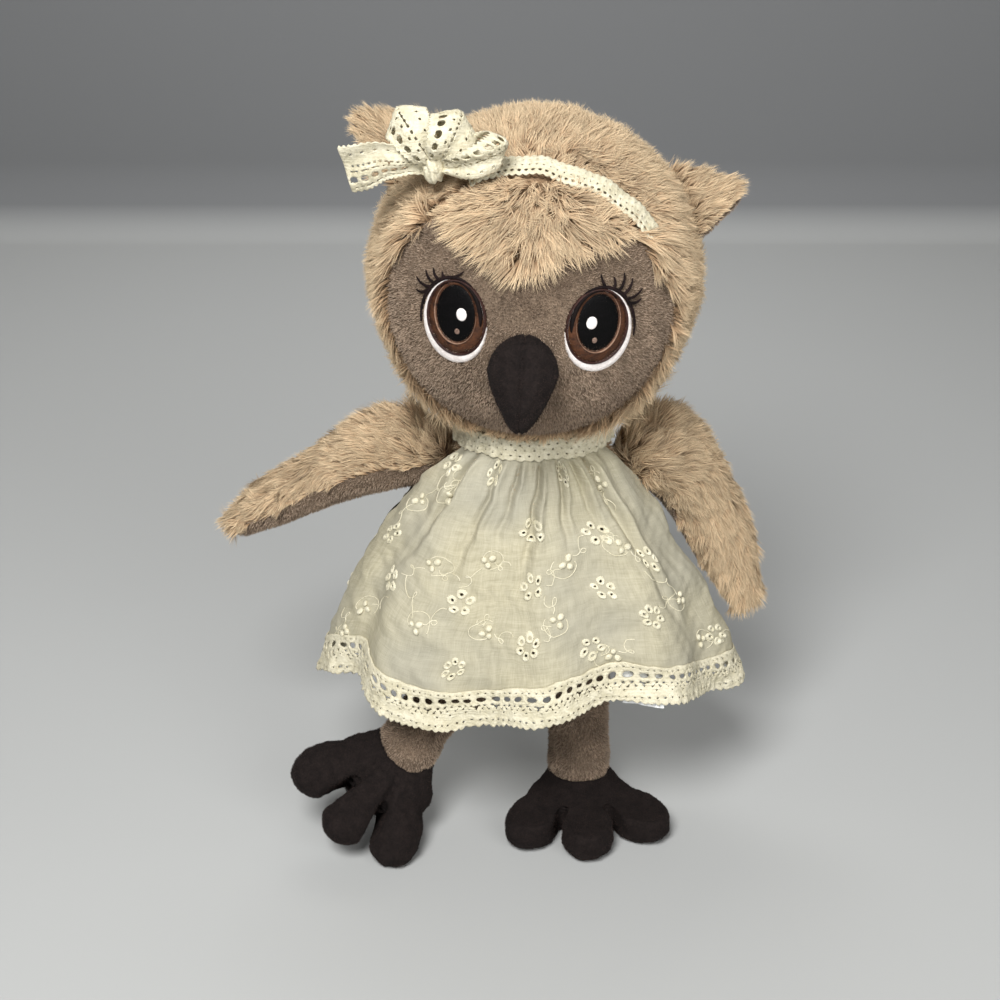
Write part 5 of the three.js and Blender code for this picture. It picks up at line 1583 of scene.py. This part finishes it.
def tail_narrow(u):
    return mix(0.4, 1, ease(u, 0, 0.9))


controls = [KNOT, KNOT + TAIL_REACH / 2 + [0, -2.2, 2.2], KNOT + TAIL_REACH]
pitch = TAIL_LENGTH / TAIL_HOLES
holes_at = [((k + 0.5) * pitch, 4.4, 1.1, 1.15) for k in range(2, TAIL_HOLES)]
holes_at += [((k + shift) * pitch, row, 0.42, 0.42)
             for k in range(1, TAIL_HOLES) for shift, row in TAIL_NET]
surface = ribbon_surface(controls, TAIL_SIDE, TAIL_WIDTH, tail_narrow, 1.1, 5)
tail = lace_strip("bow_tail_lace", surface, TAIL_LENGTH, TAIL_WIDTH, holes_at, 0.45, "head", 0.8, 1.6)
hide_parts("bow_tail")

# %% Knot of the bow
KNOT_RADII = np.array([3.3, 5.0, 5.4])
knot_points, knot_faces = ball_mesh(KNOT_RADII)
ridges = np.sin(knot_points @ [3.4, 0.4, 1.2]) * 0.5 + waves(knot_points, 3.0, 6)[:, 0] * 0.5
knot_points = from_head(knot_points * (1 + ridges[:, None] * 0.1) + KNOT)
knot = piece("bow_knot_lace", knot_points, knot_faces, LACE, "head")
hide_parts("bow_knot")
print("knot", np.ptp(knot_points, axis=0).round(1), "mm")

# %% [markdown]
# ## Care label
# A blank end of white woven tape shows under the hem, as on most soft toys. It carries no words. A
# flat grid behind the cloth is enough for it.

# %% Label
LABEL_DEGREES, LABEL_WIDE, LABEL_LONG, LABEL_SHOWS, LABEL_RADIUS = 31.0, 12.0, 20.0, 1.5, 62.0
LABEL_COLUMNS, LABEL_ROWS = 12, 20
LABEL_TAPE = thread_material("white woven tape", (222, 224, 224), (246, 247, 246), 1500, 400, 0.0001,
                             0.5, 0.2)
across, down = np.meshgrid(np.linspace(-0.5, 0.5, LABEL_COLUMNS + 1), np.linspace(0, 1, LABEL_ROWS + 1))
drop = COLLAR_BOTTOM - hem_at(np.array(LABEL_DEGREES))
fall = 1 + (LABEL_SHOWS - (1 - down) * LABEL_LONG) / drop
degrees = LABEL_DEGREES + across * math.degrees(LABEL_WIDE / LABEL_RADIUS)
points = on_dress(degrees, fall, -1.6).reshape(-1, 3)
label = piece("care_label_tape", points, grid_faces(LABEL_COLUMNS, LABEL_ROWS), LABEL_TAPE, "torso")
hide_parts("care_label")
print("label shows", LABEL_SHOWS, "mm under the hem")
